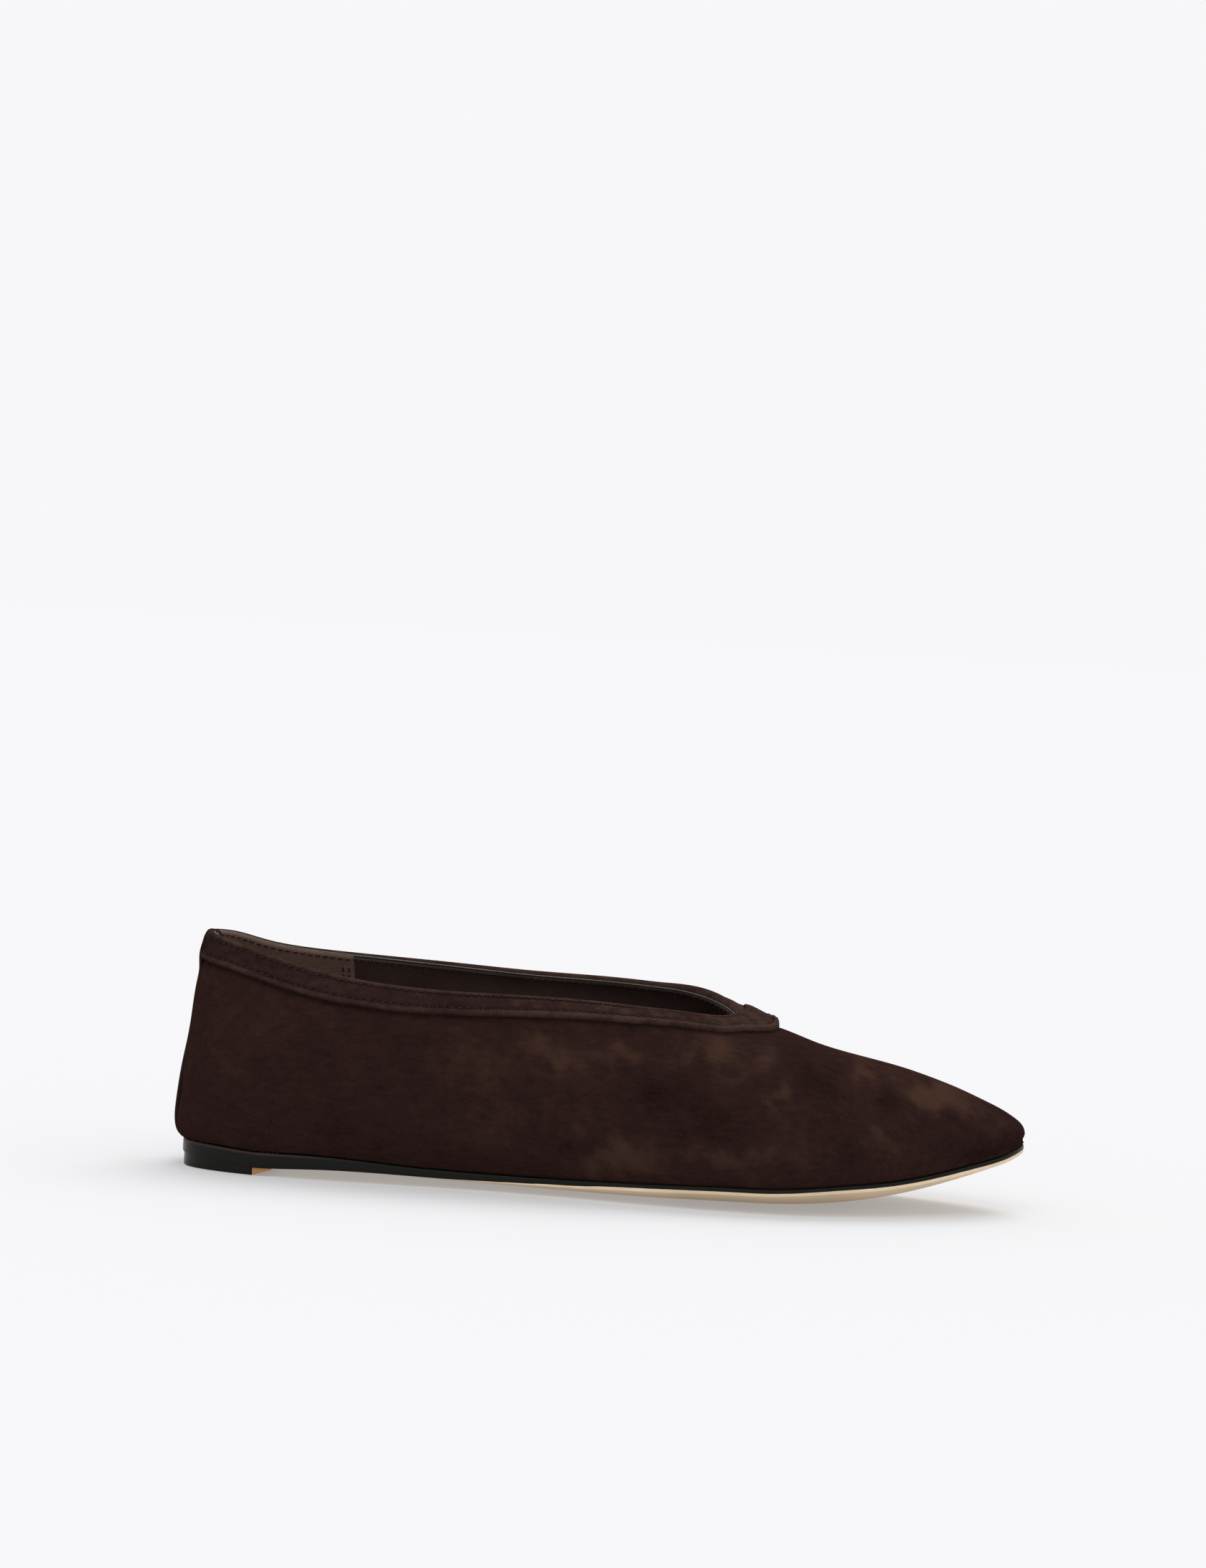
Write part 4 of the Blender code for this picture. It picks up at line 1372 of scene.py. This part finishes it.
@dataclass(frozen=True)
class ToplineBand:
    """The band sewn round the opening, with its turned lower edge and its tab on the vamp."""

    last: Last
    finish: Suede
    edge: RolledEdge
    pitch: float = 0.0023
    height: float = 0.00120
    bead: float = 0.00042
    bead_place: float = 0.00105
    bead_half: float = 0.0008
    groove: float = 0.00030
    groove_width: float = 0.00034
    low_row: float = 0.00225
    high_row: float = 0.00135
    hem: float = 0.00050
    inner_row: float = 0.00055
    swell: float = 0.0034
    swell_half: float = 0.011
    swell_side: float = 0.006
    swell_rise: tuple[float, float] = (0.560, 0.650)
    swell_fall: tuple[float, float] = (0.655, 0.700)
    swell_drop: float = 0.55
    swell_top: float = 0.45
    swell_run: float = 0.0045
    swell_hem: float = 0.0016
    over_roll: float = 0.00003
    sink: float = 0.0001
    inside: float = -0.00025
    # Painted light on the band, partly worn nap: a highlight along the rim and on the bead, and shade in the
    # grooves of the stitches.
    wear_and_painted_light: tuple[float, float, float] = (0.75, 0.50, 0.55)
    rim_half: float = 0.0010
    lighter: float = 0.42
    light_rise: tuple[float, float] = (0.36, 0.56)
    heel_rise: tuple[float, float] = (0.05, 0.22)
    heel_dark: float = 0.5
    ripple: float = 0.00014
    row_turn: float = 0.004
    columns: int = 420
    tab_columns: int = 30
    rows: int = 26
    rim_samples: int = 1500
    low_samples: int = 2400

    def places(self) -> np.ndarray:
        """List the columns, which crowd towards the tab's end as its outline turns in."""
        last = self.last
        half = last.columns(self.columns, last.throat)
        half = half[half >= 0.0]
        left = np.linspace(1.0, 0.0, self.tab_columns)[1:] ** (1.0 / last.tab_power)
        half = np.concatenate((half, last.tab - (last.tab - last.throat) * left))
        return np.concatenate((-half[:0:-1], half))

    def low_edge(self, places: np.ndarray) -> Path:
        """Lay a path along the band's lower edge."""
        return wall_path(self.last, places, self.last.top(places)[4])

    def rim(self, places: np.ndarray) -> Path:
        """Lay a path along the edge of the opening."""
        return wall_path(self.last, places, np.zeros(len(places)))

    def upper_row(self, places: np.ndarray) -> np.ndarray:
        """Give how far below the edge the upper row of stitches runs, which is less outside."""
        return self.high_row + self.inner_row * smooth_step(places, -self.row_turn, self.row_turn)

    def throat_swell(self, points: np.ndarray) -> np.ndarray:
        """Work out how far the band's folded end stands up round the throat.

        It is a bell curve of the level distance from a line beside the middle, and rises
        smoothly along the length.
        """
        along = (points[..., 0] - self.last.shift[0]) / self.last.length
        beside = points[..., 1] - self.last.shift[1] - self.swell_side
        rise = smooth_step(along, *self.swell_rise)
        fall = 1.0 - self.swell_drop * smooth_step(along, *self.swell_fall)
        return self.swell * rise * fall * bell(beside, self.swell_half)

    def offset(self, places: np.ndarray, from_top: np.ndarray, from_low: np.ndarray) -> np.ndarray:
        """Work out the band's outer side from the distances to its two edges.

        It stands at one height, with a bead along the lower edge, a groove under each row of
        stitches, a rounded hem, and at the top the same oval as the rolled edge. The bead puffs
        a little between two stitches, by a cosine of the run of the edge.

        Args:
            places: The place of each column.
            from_top: The distance of each point from the edge of the opening.
            from_low: The distance of each point from the band's lower edge.

        Returns:
            The offset of each point.
        """
        run = run_of(self.low_edge(places).points)
        puff = self.ripple * np.cos(2.0 * math.pi * run / self.pitch)[:, None]
        bead = (self.bead + puff) * bell(from_low - self.bead_place, self.bead_half)
        stand = self.height + bead - self.groove * bell(from_low - self.low_row, self.groove_width)
        high_row = self.upper_row(places)[:, None]
        stand = stand - self.groove * bell(from_top - high_row, self.groove_width)
        down, out = self.edge.middle
        reach = np.clip((down - from_top) / self.edge.half[0], 0.0, 1.0)
        oval = out + self.edge.half[1] * np.sqrt(1.0 - reach**2) + self.over_roll
        stand = np.where(from_top < down, np.minimum(stand, oval), stand)
        return stand * rounded(from_low / self.hem) - self.sink

    def nap(
        self, places: np.ndarray, along: np.ndarray, from_top: np.ndarray, from_low: np.ndarray
    ) -> np.ndarray:
        """Mark the band's nap: a painted highlight, partly worn nap, along the edge of the opening and on the
        bead, painted shade in the grooves of the stitches, and a tone lighter towards the throat and darker
        at the heel.

        Args:
            places: The place of each column.
            along: The share of the length at which each point lies.
            from_top: The distance of each point from the edge of the opening.
            from_low: The distance of each point from the band's lower edge.

        Returns:
            The nap of each point.
        """
        # Painted highlight along the rim and on the bead, partly worn nap, and painted shade in the grooves
        # under the stitches.
        rim, low, painted_groove_shade = self.wear_and_painted_light
        nap = rim * bell(from_top, self.rim_half)
        nap = nap + low * bell(from_low - self.bead_place, self.bead_half)
        heel = self.heel_dark * (1.0 - smooth_step(along, *self.heel_rise))
        nap = nap + self.lighter * (smooth_step(along, *self.light_rise) - heel)
        for away in (from_top - self.upper_row(places)[:, None], from_low - self.low_row):
            nap = nap - painted_groove_shade * bell(away, self.groove_width)
        return nap

    def build(self) -> bpy.types.Object:
        """Make the band."""
        last = self.last
        places = self.places()
        depths = last.top(places)[4][:, None] * np.linspace(0.0, 1.0, self.rows)[None, :]
        flat = last.skin(places, depths, 0.0)
        dense = np.linspace(-last.throat, last.throat, self.rim_samples)
        from_top = nearest(flat, self.rim(dense).points)
        even = np.linspace(0.0, 1.0, len(places))
        fine = np.interp(np.linspace(0.0, 1.0, self.low_samples), even, places)
        from_low = nearest(flat, self.low_edge(fine).points)
        grown = self.swell_top + (1.0 - self.swell_top) * smooth_step(from_top, 0.0, self.swell_run)
        swell = self.throat_swell(flat) * grown * rounded(from_low / self.swell_hem)
        outside = last.skin(places, depths, self.offset(places, from_top, from_low) + swell)
        inside = last.skin(places, depths, self.inside)
        along = (outside[..., 0] - last.shift[0]) / last.length
        nap = self.nap(places, along, from_top, from_low)
        piece = walled("band", last, places, (outside, inside), nap, pointed=True)
        return dress(piece, self.finish, "band_suede", "topline_band")


@dataclass(frozen=True)
class BackStrip:
    """The narrow strip over the back seam, turned in over the edge of the opening."""

    last: Last
    finish: Suede
    width: float = 0.0045
    thickness: float = 0.0009
    sunk: float = 0.0006
    thinned: float = 0.35
    turn_in: float = 0.0030
    band_stand: float = 0.0014
    thin_half: float = 0.0020
    powers: tuple[float, float] = (0.45, 0.6)
    nap: float = -0.1
    inside: float = -0.00225
    steps: int = 150
    sides: int = 13

    def line(self) -> np.ndarray:
        """List the depths and offsets that the strip's inner side follows, evenly spaced.

        It climbs the wall, steps over the band, goes over the rolled edge and down inside.
        """
        total = self.last.lengths(np.zeros(1))[0]
        over, band = self.band_stand, self.last.band_width
        marks = np.array(
            (
                (total + 0.0001, -0.0002),
                (total - 0.0012, 0.0),
                (total * 0.5, 0.0),
                (band + 0.0070, 0.0),
                (band + 0.0035, 0.16 * over),
                (band + 0.0012, 0.58 * over),
                (band - 0.0010, 0.94 * over),
                (band - 0.0028, over),
                (band * 0.4, over - 0.0001),
                (0.0012, over - 0.0001),
                (0.0, 0.6 * over),
                (-0.0001, -0.0004),
                (-0.0001, -0.0013),
                (0.0005, self.inside),
                (self.turn_in, self.inside - 0.0005),
            )
        )
        run = run_of(marks)
        return spline(run, marks, np.linspace(0.0, run[-1], self.steps))

    def build(self) -> bpy.types.Object:
        """Make the strip: its section is a flat oval, carried along its line."""
        last = self.last
        line = self.line()
        run = unit(np.gradient(line, axis=0))
        square = np.column_stack((run[:, 1], -run[:, 0]))
        angle = np.linspace(0.0, 2.0 * math.pi, 2 * self.sides, endpoint=False)
        wide = np.sign(np.cos(angle)) * np.abs(np.cos(angle)) ** self.powers[0]
        thick = 0.5 * (1.0 + np.sign(np.sin(angle)) * np.abs(np.sin(angle)) ** self.powers[1])
        thin = 1.0 - self.thinned * bell(line[:, :1], self.thin_half)
        lift = (self.thickness + self.sunk) * thin * thick[None, :] - self.sunk
        depths = line[:, :1] + square[:, :1] * lift
        offsets = line[:, 1:] + square[:, 1:] * lift
        step = last.reach_step
        left, right = last.wall(np.array((-step, step)), np.tile(line[:, 0], (2, 1)))
        pace = 2.0 * step / np.linalg.norm(right - left, axis=1)
        places = 0.5 * self.width * pace[:, None] * wide[None, :]
        points = last.skin(places.reshape(-1), depths.reshape(-1, 1), offsets.reshape(-1, 1))
        grid = points.reshape(*places.shape, 3)
        piece = closed_body("back_seam_strip", grid, {"patch": self.nap})
        return dress(piece, self.finish, "strip_suede", "back_strip")


@dataclass(frozen=True)
class Stitches:
    """Rows of short plump stitches of twisted thread."""

    finish: Thread
    pitch: float = 0.0023
    length: float = 0.0018
    radius: float = 0.00021
    stand: float = 0.00016
    slant: float = 0.10
    end_dip: float = 0.0002
    end_least: float = 0.04
    stations: int = 7
    sides: int = 6

    def one(self) -> tuple[np.ndarray, np.ndarray, np.ndarray]:
        """Shape one stitch: a round body that swells in its middle and dips in at its ends.

        Returns:
            Its points along, across and out, its faces, and how near each point is to an end.
        """
        share = np.linspace(0.0, 1.0, self.stations)
        swell = np.sqrt(np.clip(1.0 - (2.0 * share - 1.0) ** 4, self.end_least, None)) * self.radius
        rise = self.stand - (self.stand + self.end_dip) * np.abs(2.0 * share - 1.0) ** 3
        angle = np.linspace(0.0, 2.0 * math.pi, self.sides, endpoint=False)
        along = np.repeat((share[:, None] - 0.5) * self.length, self.sides, axis=1)
        across = swell[:, None] * np.cos(angle) + along * self.slant
        out = rise[:, None] + swell[:, None] * np.sin(angle)
        points = np.stack((along, across, out), axis=-1).reshape(-1, 3)
        rings = np.arange(self.stations * self.sides).reshape(self.stations, self.sides)
        turned = np.roll(rings, -1, axis=1)
        sides = np.stack((rings[:-1], turned[:-1], turned[1:], rings[1:]), axis=-1).reshape(-1, 4)
        return points, sides, np.repeat(np.abs(2.0 * share - 1.0) ** 2, self.sides)

    def row(self, name: str, paths: list[Path]) -> bpy.types.Object:
        """Sew a row of stitches along each path, as one piece.

        Args:
            name: The piece's name.
            paths: The lines that the stitches follow.

        Returns:
            The new piece.
        """
        shape, sides, ends = self.one()
        ring = np.arange(self.sides)
        caps = (ring[::-1], ring + (self.stations - 1) * self.sides)
        points, faces, done = [], [], 0
        for path in paths:
            run = run_of(path.points)
            count = max(1, round(run[-1] / self.pitch))
            middles = (np.arange(count) + 0.5) * run[-1] / count
            half = self.length / 2.0
            ahead, behind = (read(run, path.points, middles + way * half) for way in (1.0, -1.0))
            along = unit(ahead - behind)
            out = unit(read(run, path.out, middles))
            across = unit(np.cross(out, along))
            axes = np.stack((along, across, out), axis=1)
            made = read(run, path.points, middles)[:, None] + np.einsum("va,nac->nvc", shape, axes)
            starts = done + np.arange(count) * len(shape)
            points.append(made.reshape(-1, 3))
            faces += (sides[None] + starts[:, None, None]).reshape(-1, 4).tolist()
            for cap in caps:
                faces += (cap[None] + starts[:, None]).tolist()
            done += count * len(shape)
        # The mark "end" carries painted shade towards each stitch's ends.
        marks = {"end": np.tile(ends, done // len(ends))}
        piece = smooth_piece(name, np.concatenate(points), faces, marks)
        return dress(piece, self.finish, "thread")


@dataclass(frozen=True)
class Sewing:
    """Where the shoe is sewn: along the band, round the lining and down the grip."""

    last: Last
    band: ToplineBand
    lining: Lining
    stitches: Stitches
    strip_half: float = 0.0030
    hide_from: float = 0.520
    hide_to: float = 0.575
    tab_end: float = 0.0030
    lining_row: float = 0.0010
    grip_rows: tuple[float, float] = (0.0016, 0.0032)
    grip_ends: tuple[float, float] = (0.0036, 0.006)
    grip_step: tuple[float, float] = (0.0006, 0.0004)
    throat_ends: tuple[float, float] = (0.004, 0.003)
    slip: float = 0.0006
    seen: float = 0.9
    samples: int = 500

    def sides_of(self, reach: float) -> list[np.ndarray]:
        """List the places of the outer and the inner side, clear of the back strip."""
        near, count = self.strip_half, self.samples
        return [np.linspace(-reach, -near, count), np.linspace(near, reach, count)]

    def band_rows(self) -> list[bpy.types.Object]:
        """Sew the band's two rows; the upper one slips over the edge towards the throat."""
        last, band = self.last, self.band
        high, low = [], []
        for places in self.sides_of(last.throat - self.throat_ends[0]):
            along = last.top(places)[0][:, 0] / last.length
            over = smooth_step(along, self.hide_from, self.hide_to) * (places[0] < 0.0)
            down = band.upper_row(places) * (1.0 - over)
            row = band.rim(places).moved(down, band.height - band.groove - self.slip * over)
            high.append(row.part(over < self.seen))
        for places in self.sides_of(last.tab - self.tab_end):
            edge = band.low_edge(places)
            low.append(edge.moved(-band.low_row, band.height - band.groove))
        sew = self.stitches.row
        return [sew("band_upper_stitches", high), sew("band_lower_stitches", low)]

    def lining_rows(self) -> list[bpy.types.Object]:
        """Sew the row inside the edge, and the two rows down each front edge of the grip."""
        last, lining = self.last, self.lining
        grip = lining.grip_place
        rows = []
        before, after = self.grip_step
        for places in self.sides_of(last.throat - self.throat_ends[1]):
            on_grip = 1.0 - smooth_step(np.abs(places), grip - before, grip + after)
            surface = lining.inner_side - lining.grip_thickness * on_grip
            rim = self.band.rim(places).moved(self.lining_row, surface)
            rows.append(Path(rim.points, -rim.out, rim.across))
        seams = []
        for side in (-1.0, 1.0):
            for inset in self.grip_rows:
                place = np.full(1, side * (grip - inset))
                low_end = last.lengths(place)[0] - self.grip_ends[1]
                depths = np.linspace(self.grip_ends[0], low_end, 200)[None, :]
                surface = lining.inner_side - lining.grip_thickness
                points = last.skin(place, depths, surface)[0]
                out = -last.normals(place, depths)[0]
                seams.append(Path(points, out, out))
        return [self.stitches.row("lining_stitches", rows), self.stitches.row("grip_stitches", seams)]

    def build(self) -> list[bpy.types.Object]:
        """Sew every row."""
        return self.band_rows() + self.lining_rows()


@dataclass(frozen=True)
class Outsole:
    """The leather sole: convex under the ball, with a rounded, painted edge."""

    last: Last
    finish: PaintedSole
    bulge: float = -0.00010
    corner: float = 0.00045
    lip_height: float = 0.00045
    columns: int = 260
    rings: int = 26
    side_rows: int = 14
    crowd: float = 1.5
    powers: tuple[float, float] = (0.5, 0.6)
    lip_rest: float = 0.20
    foot_lip: float = 0.8
    foot_lip_half: float = 0.00030
    seam_half: float = 0.0005
    under_paint: tuple[float, float] = (0.060, 0.085)
    heel_reach: tuple[float, float] = (0.030, 0.075)
    bare_rise: tuple[float, float] = (0.28, 0.54)
    bare_fall: tuple[float, float] = (0.93, 0.985)
    bare_height: tuple[float, float, float] = (0.50, 0.62, 0.10)
    bare_blur: float = 0.05
    tread_rise: tuple[float, float] = (0.55, 0.62)
    tread_fall: tuple[float, float] = (0.78, 0.86)

    def build(self) -> bpy.types.Object:
        """Make the sole, from the middle of its underside round its edge to its upper side.

        Its edge is half a superellipse, which swells past the outline by the bulge.
        """
        last = self.last
        places = last.columns(self.columns, last.tip)
        share = np.linspace(1.0, 0.0, self.rings)[None, :] ** self.crowd
        plan, under = last.plan(places, share, self.corner)
        depth = last.sole_depth(plan[..., 0])
        bottom, top = two_levels(plan, under, under + depth)
        reach = self.corner + self.bulge
        side, climb = rounded_side(last.outward(places), bottom, top, self.side_rows, self.powers, reach)
        own = np.concatenate((bottom, side, top), axis=1)
        marks = self.marks(own[..., 0], climb, depth)
        piece = closed_body("leather_sole", last.placed(own), marks, np.zeros(len(places), bool))
        return dress(piece, self.finish, "sole_leather", "outsole")

    def marks(self, x: np.ndarray, climb: np.ndarray, depth: np.ndarray) -> dict[str, np.ndarray]:
        """Mark what of the sole is painted, what has its lip scuffed lighter and what has been walked on.

        Args:
            x: How far along the shoe each point lies.
            climb: The share of the height of each row of the side.
            depth: The thickness of the sole under each point of its plan.

        Returns:
            The values of the points, by name.
        """
        last = self.last
        along = x[:, -1:] / last.length
        up, down, always = self.bare_height
        bare = up * smooth_step(along, *self.bare_rise) - down * smooth_step(along, *self.bare_fall) - always
        edge = np.ones(x.shape)
        edge[:, : self.rings] = 0.0
        edge[:, self.rings - 1] = 1.0 - smooth_step(x[:, 0], *self.under_paint)
        painted = smooth_step(climb[None, :], bare - self.bare_blur, bare + self.bare_blur)
        edge[:, self.rings : -self.rings] = painted
        height = np.concatenate((np.zeros_like(depth), climb * depth[:, -1:], depth[:, ::-1]), axis=1)
        heel = 1.0 - smooth_step(x, *self.heel_reach)
        lip = bell(height - depth[:, -1:] + self.lip_height, self.lip_height)
        lip = lip * (self.lip_rest + (1.0 - self.lip_rest) * heel)
        on_lift = 1.0 - smooth_step(x, last.breast - self.seam_half, last.breast + self.seam_half)
        lip = np.maximum(lip, bell(height, self.foot_lip_half) * on_lift * self.foot_lip)
        share = x / last.length
        tread = smooth_step(share, *self.tread_rise) * (1.0 - smooth_step(share, *self.tread_fall))
        return {"edge": edge, "lip": lip, "tread": tread}


@dataclass(frozen=True)
class Sock:
    """The leather sock on the insole, seen through the opening."""

    last: Last
    finish: Leather
    inset: float = 0.0019
    thickness: float = 0.0016
    lift: float = 0.0003
    crowd: float = 1.4
    rounding: tuple[float, float] = (0.06, 0.6)
    columns: int = 200
    rings: int = 20

    def build(self) -> bpy.types.Object:
        """Make the sock, whose upper edge is rounded."""
        last = self.last
        places = last.columns(self.columns, last.tip)
        share = np.linspace(1.0, 0.0, self.rings)[None, :] ** self.crowd
        plan, under = last.plan(places, share, self.inset)
        low = under + last.sole_depth(plan[..., 0]) + self.lift
        reach, fall = self.rounding
        drop = self.thickness * fall * (1.0 - rounded(share / reach))
        bottom, top = two_levels(plan, low, low + self.thickness - drop)
        grid = last.placed(np.concatenate((bottom, top), axis=1))
        piece = closed_body("sock", grid, {}, np.zeros(len(places), bool))
        return dress(piece, self.finish, "insole_leather", "insole")


@dataclass(frozen=True)
class HeelLift:
    """The low lift under the heel, with a painted side and a bare skived front."""

    last: Last
    finish: PaintedSole
    inset: float = 0.0006
    skive: float = 0.0055
    tip: float = 0.0005
    corner: float = 0.00035
    columns: int = 120
    rings: int = 8
    side_rows: int = 12
    powers: tuple[float, float] = (0.4, 0.5)
    overlap: float = 0.0001
    paint_end: tuple[float, float] = (0.0001, 0.0002)
    rim_half: float = 0.0003
    rim_share: float = 0.5
    front_columns: int = 12
    crisp: float = 35.0

    def build(self) -> bpy.types.Object:
        """Make the lift, from the middle of its foot round its side to its upper face."""
        last = self.last
        front = last.breast + self.skive
        dense = np.linspace(0.0, last.tip / 2.0, 600)
        reach = np.interp((last.breast, front), last.foot(dense)[:, 0], dense)
        around = np.linspace(0.0, reach[0], self.columns)
        half = np.concatenate((around, np.linspace(*reach, self.front_columns)[1:]))
        places = np.concatenate((-half[:0:-1], half))
        outline = last.foot(places)[:, 0]
        spine_x = np.where(outline > last.breast, outline, (last.breast + outline) / 2.0)
        spine = np.column_stack((spine_x, np.zeros(len(places))))
        share = np.linspace(1.0, 0.0, self.rings)[None, :]
        plan, under = last.plan(places, share, self.inset + self.corner, spine)
        climb = np.clip((plan[..., 0] - last.breast) / self.skive, 0.0, None)
        bottom, top = two_levels(plan, climb * (under - self.tip), under + self.overlap)
        out = last.outward(places)
        side, _ = rounded_side(out, bottom, top, self.side_rows, self.powers, self.corner)
        own = np.concatenate((bottom, side, top), axis=1)
        before, after = self.paint_end
        painted = 1.0 - smooth_step(own[..., 0], last.breast - before, last.breast + after)
        painted[:, : self.rings - 1] = 0.0
        height = own[..., 2]
        rim = bell(height - height.max(axis=1, keepdims=True), self.rim_half)
        marks = {"edge": painted, "lip": rim * self.rim_share, "tread": 1.0}
        closing = np.zeros(len(places), bool)
        piece = closed_body("heel_lift_dressed", last.placed(own), marks, closing, self.crisp)
        return dress(piece, self.finish, "heel_leather", "heel_lift")


@dataclass(frozen=True)
class Lamp:
    """One soft, far light."""

    name: str
    towards: tuple[float, float, float]
    strength: float
    spread: float

    def build(self) -> None:
        """Hang the light and turn it the way in which it shines."""
        data = bpy.data.lights.new(self.name, "SUN")
        data.energy = self.strength
        data.angle = math.radians(self.spread)
        light = hang(self.name, data)
        light.rotation_euler = Vector(self.towards).to_track_quat("-Z", "Y").to_euler()


@dataclass(frozen=True)
class Studio:
    """The camera, the lights and the pale floor."""

    elevation: float = 5.814
    yaw: float = 4.006
    roll: float = 3.256
    distance: float = 1.400
    focal_px: float = 6494.68
    aim_height: float = 0.030
    aim_px: tuple[float, float] = (834.39, 1515.19)
    image_px: tuple[int, int] = (1680, 2184)
    sensor: float = 36.0
    floor_size: float = 30.0
    floor_drop: float = 0.0001
    floor_colour: Colour = (0.629, 0.629, 0.632)
    floor_glow: float = 0.28
    sky_colour: Colour = (0.930, 0.930, 0.947)
    lamps: tuple[Lamp, ...] = (
        Lamp("from_behind", (-0.20, -0.55, -1.0), 1.51, 40.0),
        Lamp("from_the_front", (0.10, 0.75, -1.0), 0.565, 40.0),
    )

    def camera(self) -> None:
        """Set up the camera on the photograph's line of sight.

        It stands on the line of sight at its distance and is turned, not shifted, until the
        aim falls on its own pixel.
        """
        tilt, turn = math.radians(self.elevation), math.radians(self.yaw)
        back = Vector((math.sin(turn) * math.cos(tilt), -math.cos(turn) * math.cos(tilt), math.sin(tilt)))
        right = Vector((math.cos(turn), math.sin(turn), 0.0))
        level = Matrix((right, back.cross(right), back)).transposed()
        rolled = level @ Matrix.Rotation(math.radians(self.roll), 3, "Z")
        across = (self.aim_px[0] - self.image_px[0] / 2.0) / self.focal_px
        down = (self.aim_px[1] - self.image_px[1] / 2.0) / self.focal_px
        turned = Vector((across, -down, -1.0)).rotation_difference(Vector((0.0, 0.0, -1.0))).to_matrix()
        camera = hang("camera", bpy.data.cameras.new("camera"))
        camera.data.sensor_width = self.sensor
        camera.data.lens = self.sensor * self.focal_px / self.image_px[1]
        camera.data.clip_start = 0.01
        place = Vector((0.0, 0.0, self.aim_height)) + back * self.distance
        camera.matrix_world = Matrix.Translation(place) @ (rolled @ turned).to_4x4()
        bpy.context.scene.camera = camera

    def floor(self) -> None:
        """Lay the pale floor, out to where it meets the sky of the same colour."""
        half, low = self.floor_size, -self.floor_drop
        corners = [(-half, -half, low), (half, -half, low), (half, half, low), (-half, half, low)]
        mesh = bpy.data.meshes.new("floor")
        mesh.from_pydata(corners, [], [(0, 1, 2, 3)])
        floor = hang("floor", mesh)
        graph = Graph("floor_paint")
        glow = tuple(part * self.floor_glow for part in self.sky_colour)
        paint = tuple(part * (1.0 - self.floor_glow) for part in self.floor_colour)
        values = {"Base Color": opaque(paint), "Roughness": 1.0, "Specular IOR Level": 0.0}
        values |= {"Emission Color": opaque(glow), "Emission Strength": 1.0}
        mesh.materials.append(graph.finish(values))

    def sky(self) -> None:
        """Fill the room with even pale light."""
        world = bpy.data.worlds.new("studio")
        world.use_nodes = True
        background = world.node_tree.nodes["Background"]
        background.inputs["Color"].default_value = (*self.sky_colour, 1.0)
        background.inputs["Strength"].default_value = 1.0
        bpy.context.scene.world = world

    def build(self) -> None:
        """Set up the whole studio."""
        self.camera()
        self.floor()
        self.sky()
        for lamp in self.lamps:
            lamp.build()
        bpy.context.scene.view_settings.view_transform = "Standard"


@dataclass(frozen=True)
class BalletFlat:
    """The whole shoe, with its finishes."""

    last: Last
    suede: Suede = Suede(
        "suede", (0.0096, 0.0045, 0.0043), (0.0182, 0.0086, 0.0082), (0.0450, 0.0225, 0.0155)
    )
    band_suede: Suede = Suede(
        "band_suede", (0.0095, 0.0048, 0.0046), (0.0195, 0.0099, 0.0095), (0.0520, 0.0290, 0.0225), 0.014
    )
    strip_suede: Suede = Suede(
        "strip_suede", (0.0115, 0.0060, 0.0057), (0.0235, 0.0122, 0.0117), (0.0460, 0.0255, 0.0215)
    )
    grip_suede: Suede = Suede(
        "grip_suede", (0.0760, 0.0470, 0.0355), (0.1120, 0.0690, 0.0530), (0.1480, 0.0950, 0.0730)
    )
    lining_leather: Leather = Leather(
        "lining_leather", (0.0500, 0.0285, 0.0240), (0.0310, 0.0175, 0.0148), 0.66
    )
    # Painted highlight: the lining's trimmed edge is coloured light grey where it catches the light.
    painted_highlight_leather: Leather = Leather("painted_highlight_leather", (0.1500, 0.1530, 0.1280), (0.0650, 0.0650, 0.0530), 0.42)
    sock_leather: Leather = Leather("sock_leather", (0.0560, 0.0370, 0.0260), (0.0380, 0.0250, 0.0180), 0.60)
    thread: Thread = Thread("thread", (0.0480, 0.0280, 0.0240), (0.0028, 0.0017, 0.0016))
    sole: PaintedSole = PaintedSole("painted_sole")
    lift: PaintedSole = PaintedSole(
        "painted_lift", natural=(0.52, 0.26, 0.10), natural_shade=(0.38, 0.18, 0.07), scuff=(0.22, 0.13, 0.07)
    )

    def build(self) -> None:
        """Build each sub-assembly in the order in which a maker adds it."""
        last = self.last
        lining = Lining(last, self.lining_leather, self.grip_suede)
        edge = RolledEdge(last, self.band_suede, self.painted_highlight_leather)
        band = ToplineBand(last, self.band_suede, edge)
        Outsole(last, self.sole).build()
        HeelLift(last, self.lift).build()
        Sock(last, self.sock_leather).build()
        lining.build()
        SuedeUpper(last, self.suede).build()
        band.build()
        edge.build()
        BackStrip(last, self.strip_suede).build()
        Sewing(last, band, lining, Stitches(self.thread)).build()


def find_shift() -> tuple[float, float]:
    """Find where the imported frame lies, from the tip of the sole and the middle of the strip."""
    sole_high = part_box("outsole")[1]
    strip_low, strip_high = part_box("back_strip")
    return sole_high.x - FOOT_ROWS[-1].along * Last.length, (strip_low.y + strip_high.y) / 2.0


def main() -> None:
    """Build and dress the shoe, and light it."""
    logging.basicConfig(level=logging.INFO, format="%(message)s")
    BalletFlat(Last(shift=find_shift())).build()
    Studio().build()


if __name__ == "__main__":
    main()
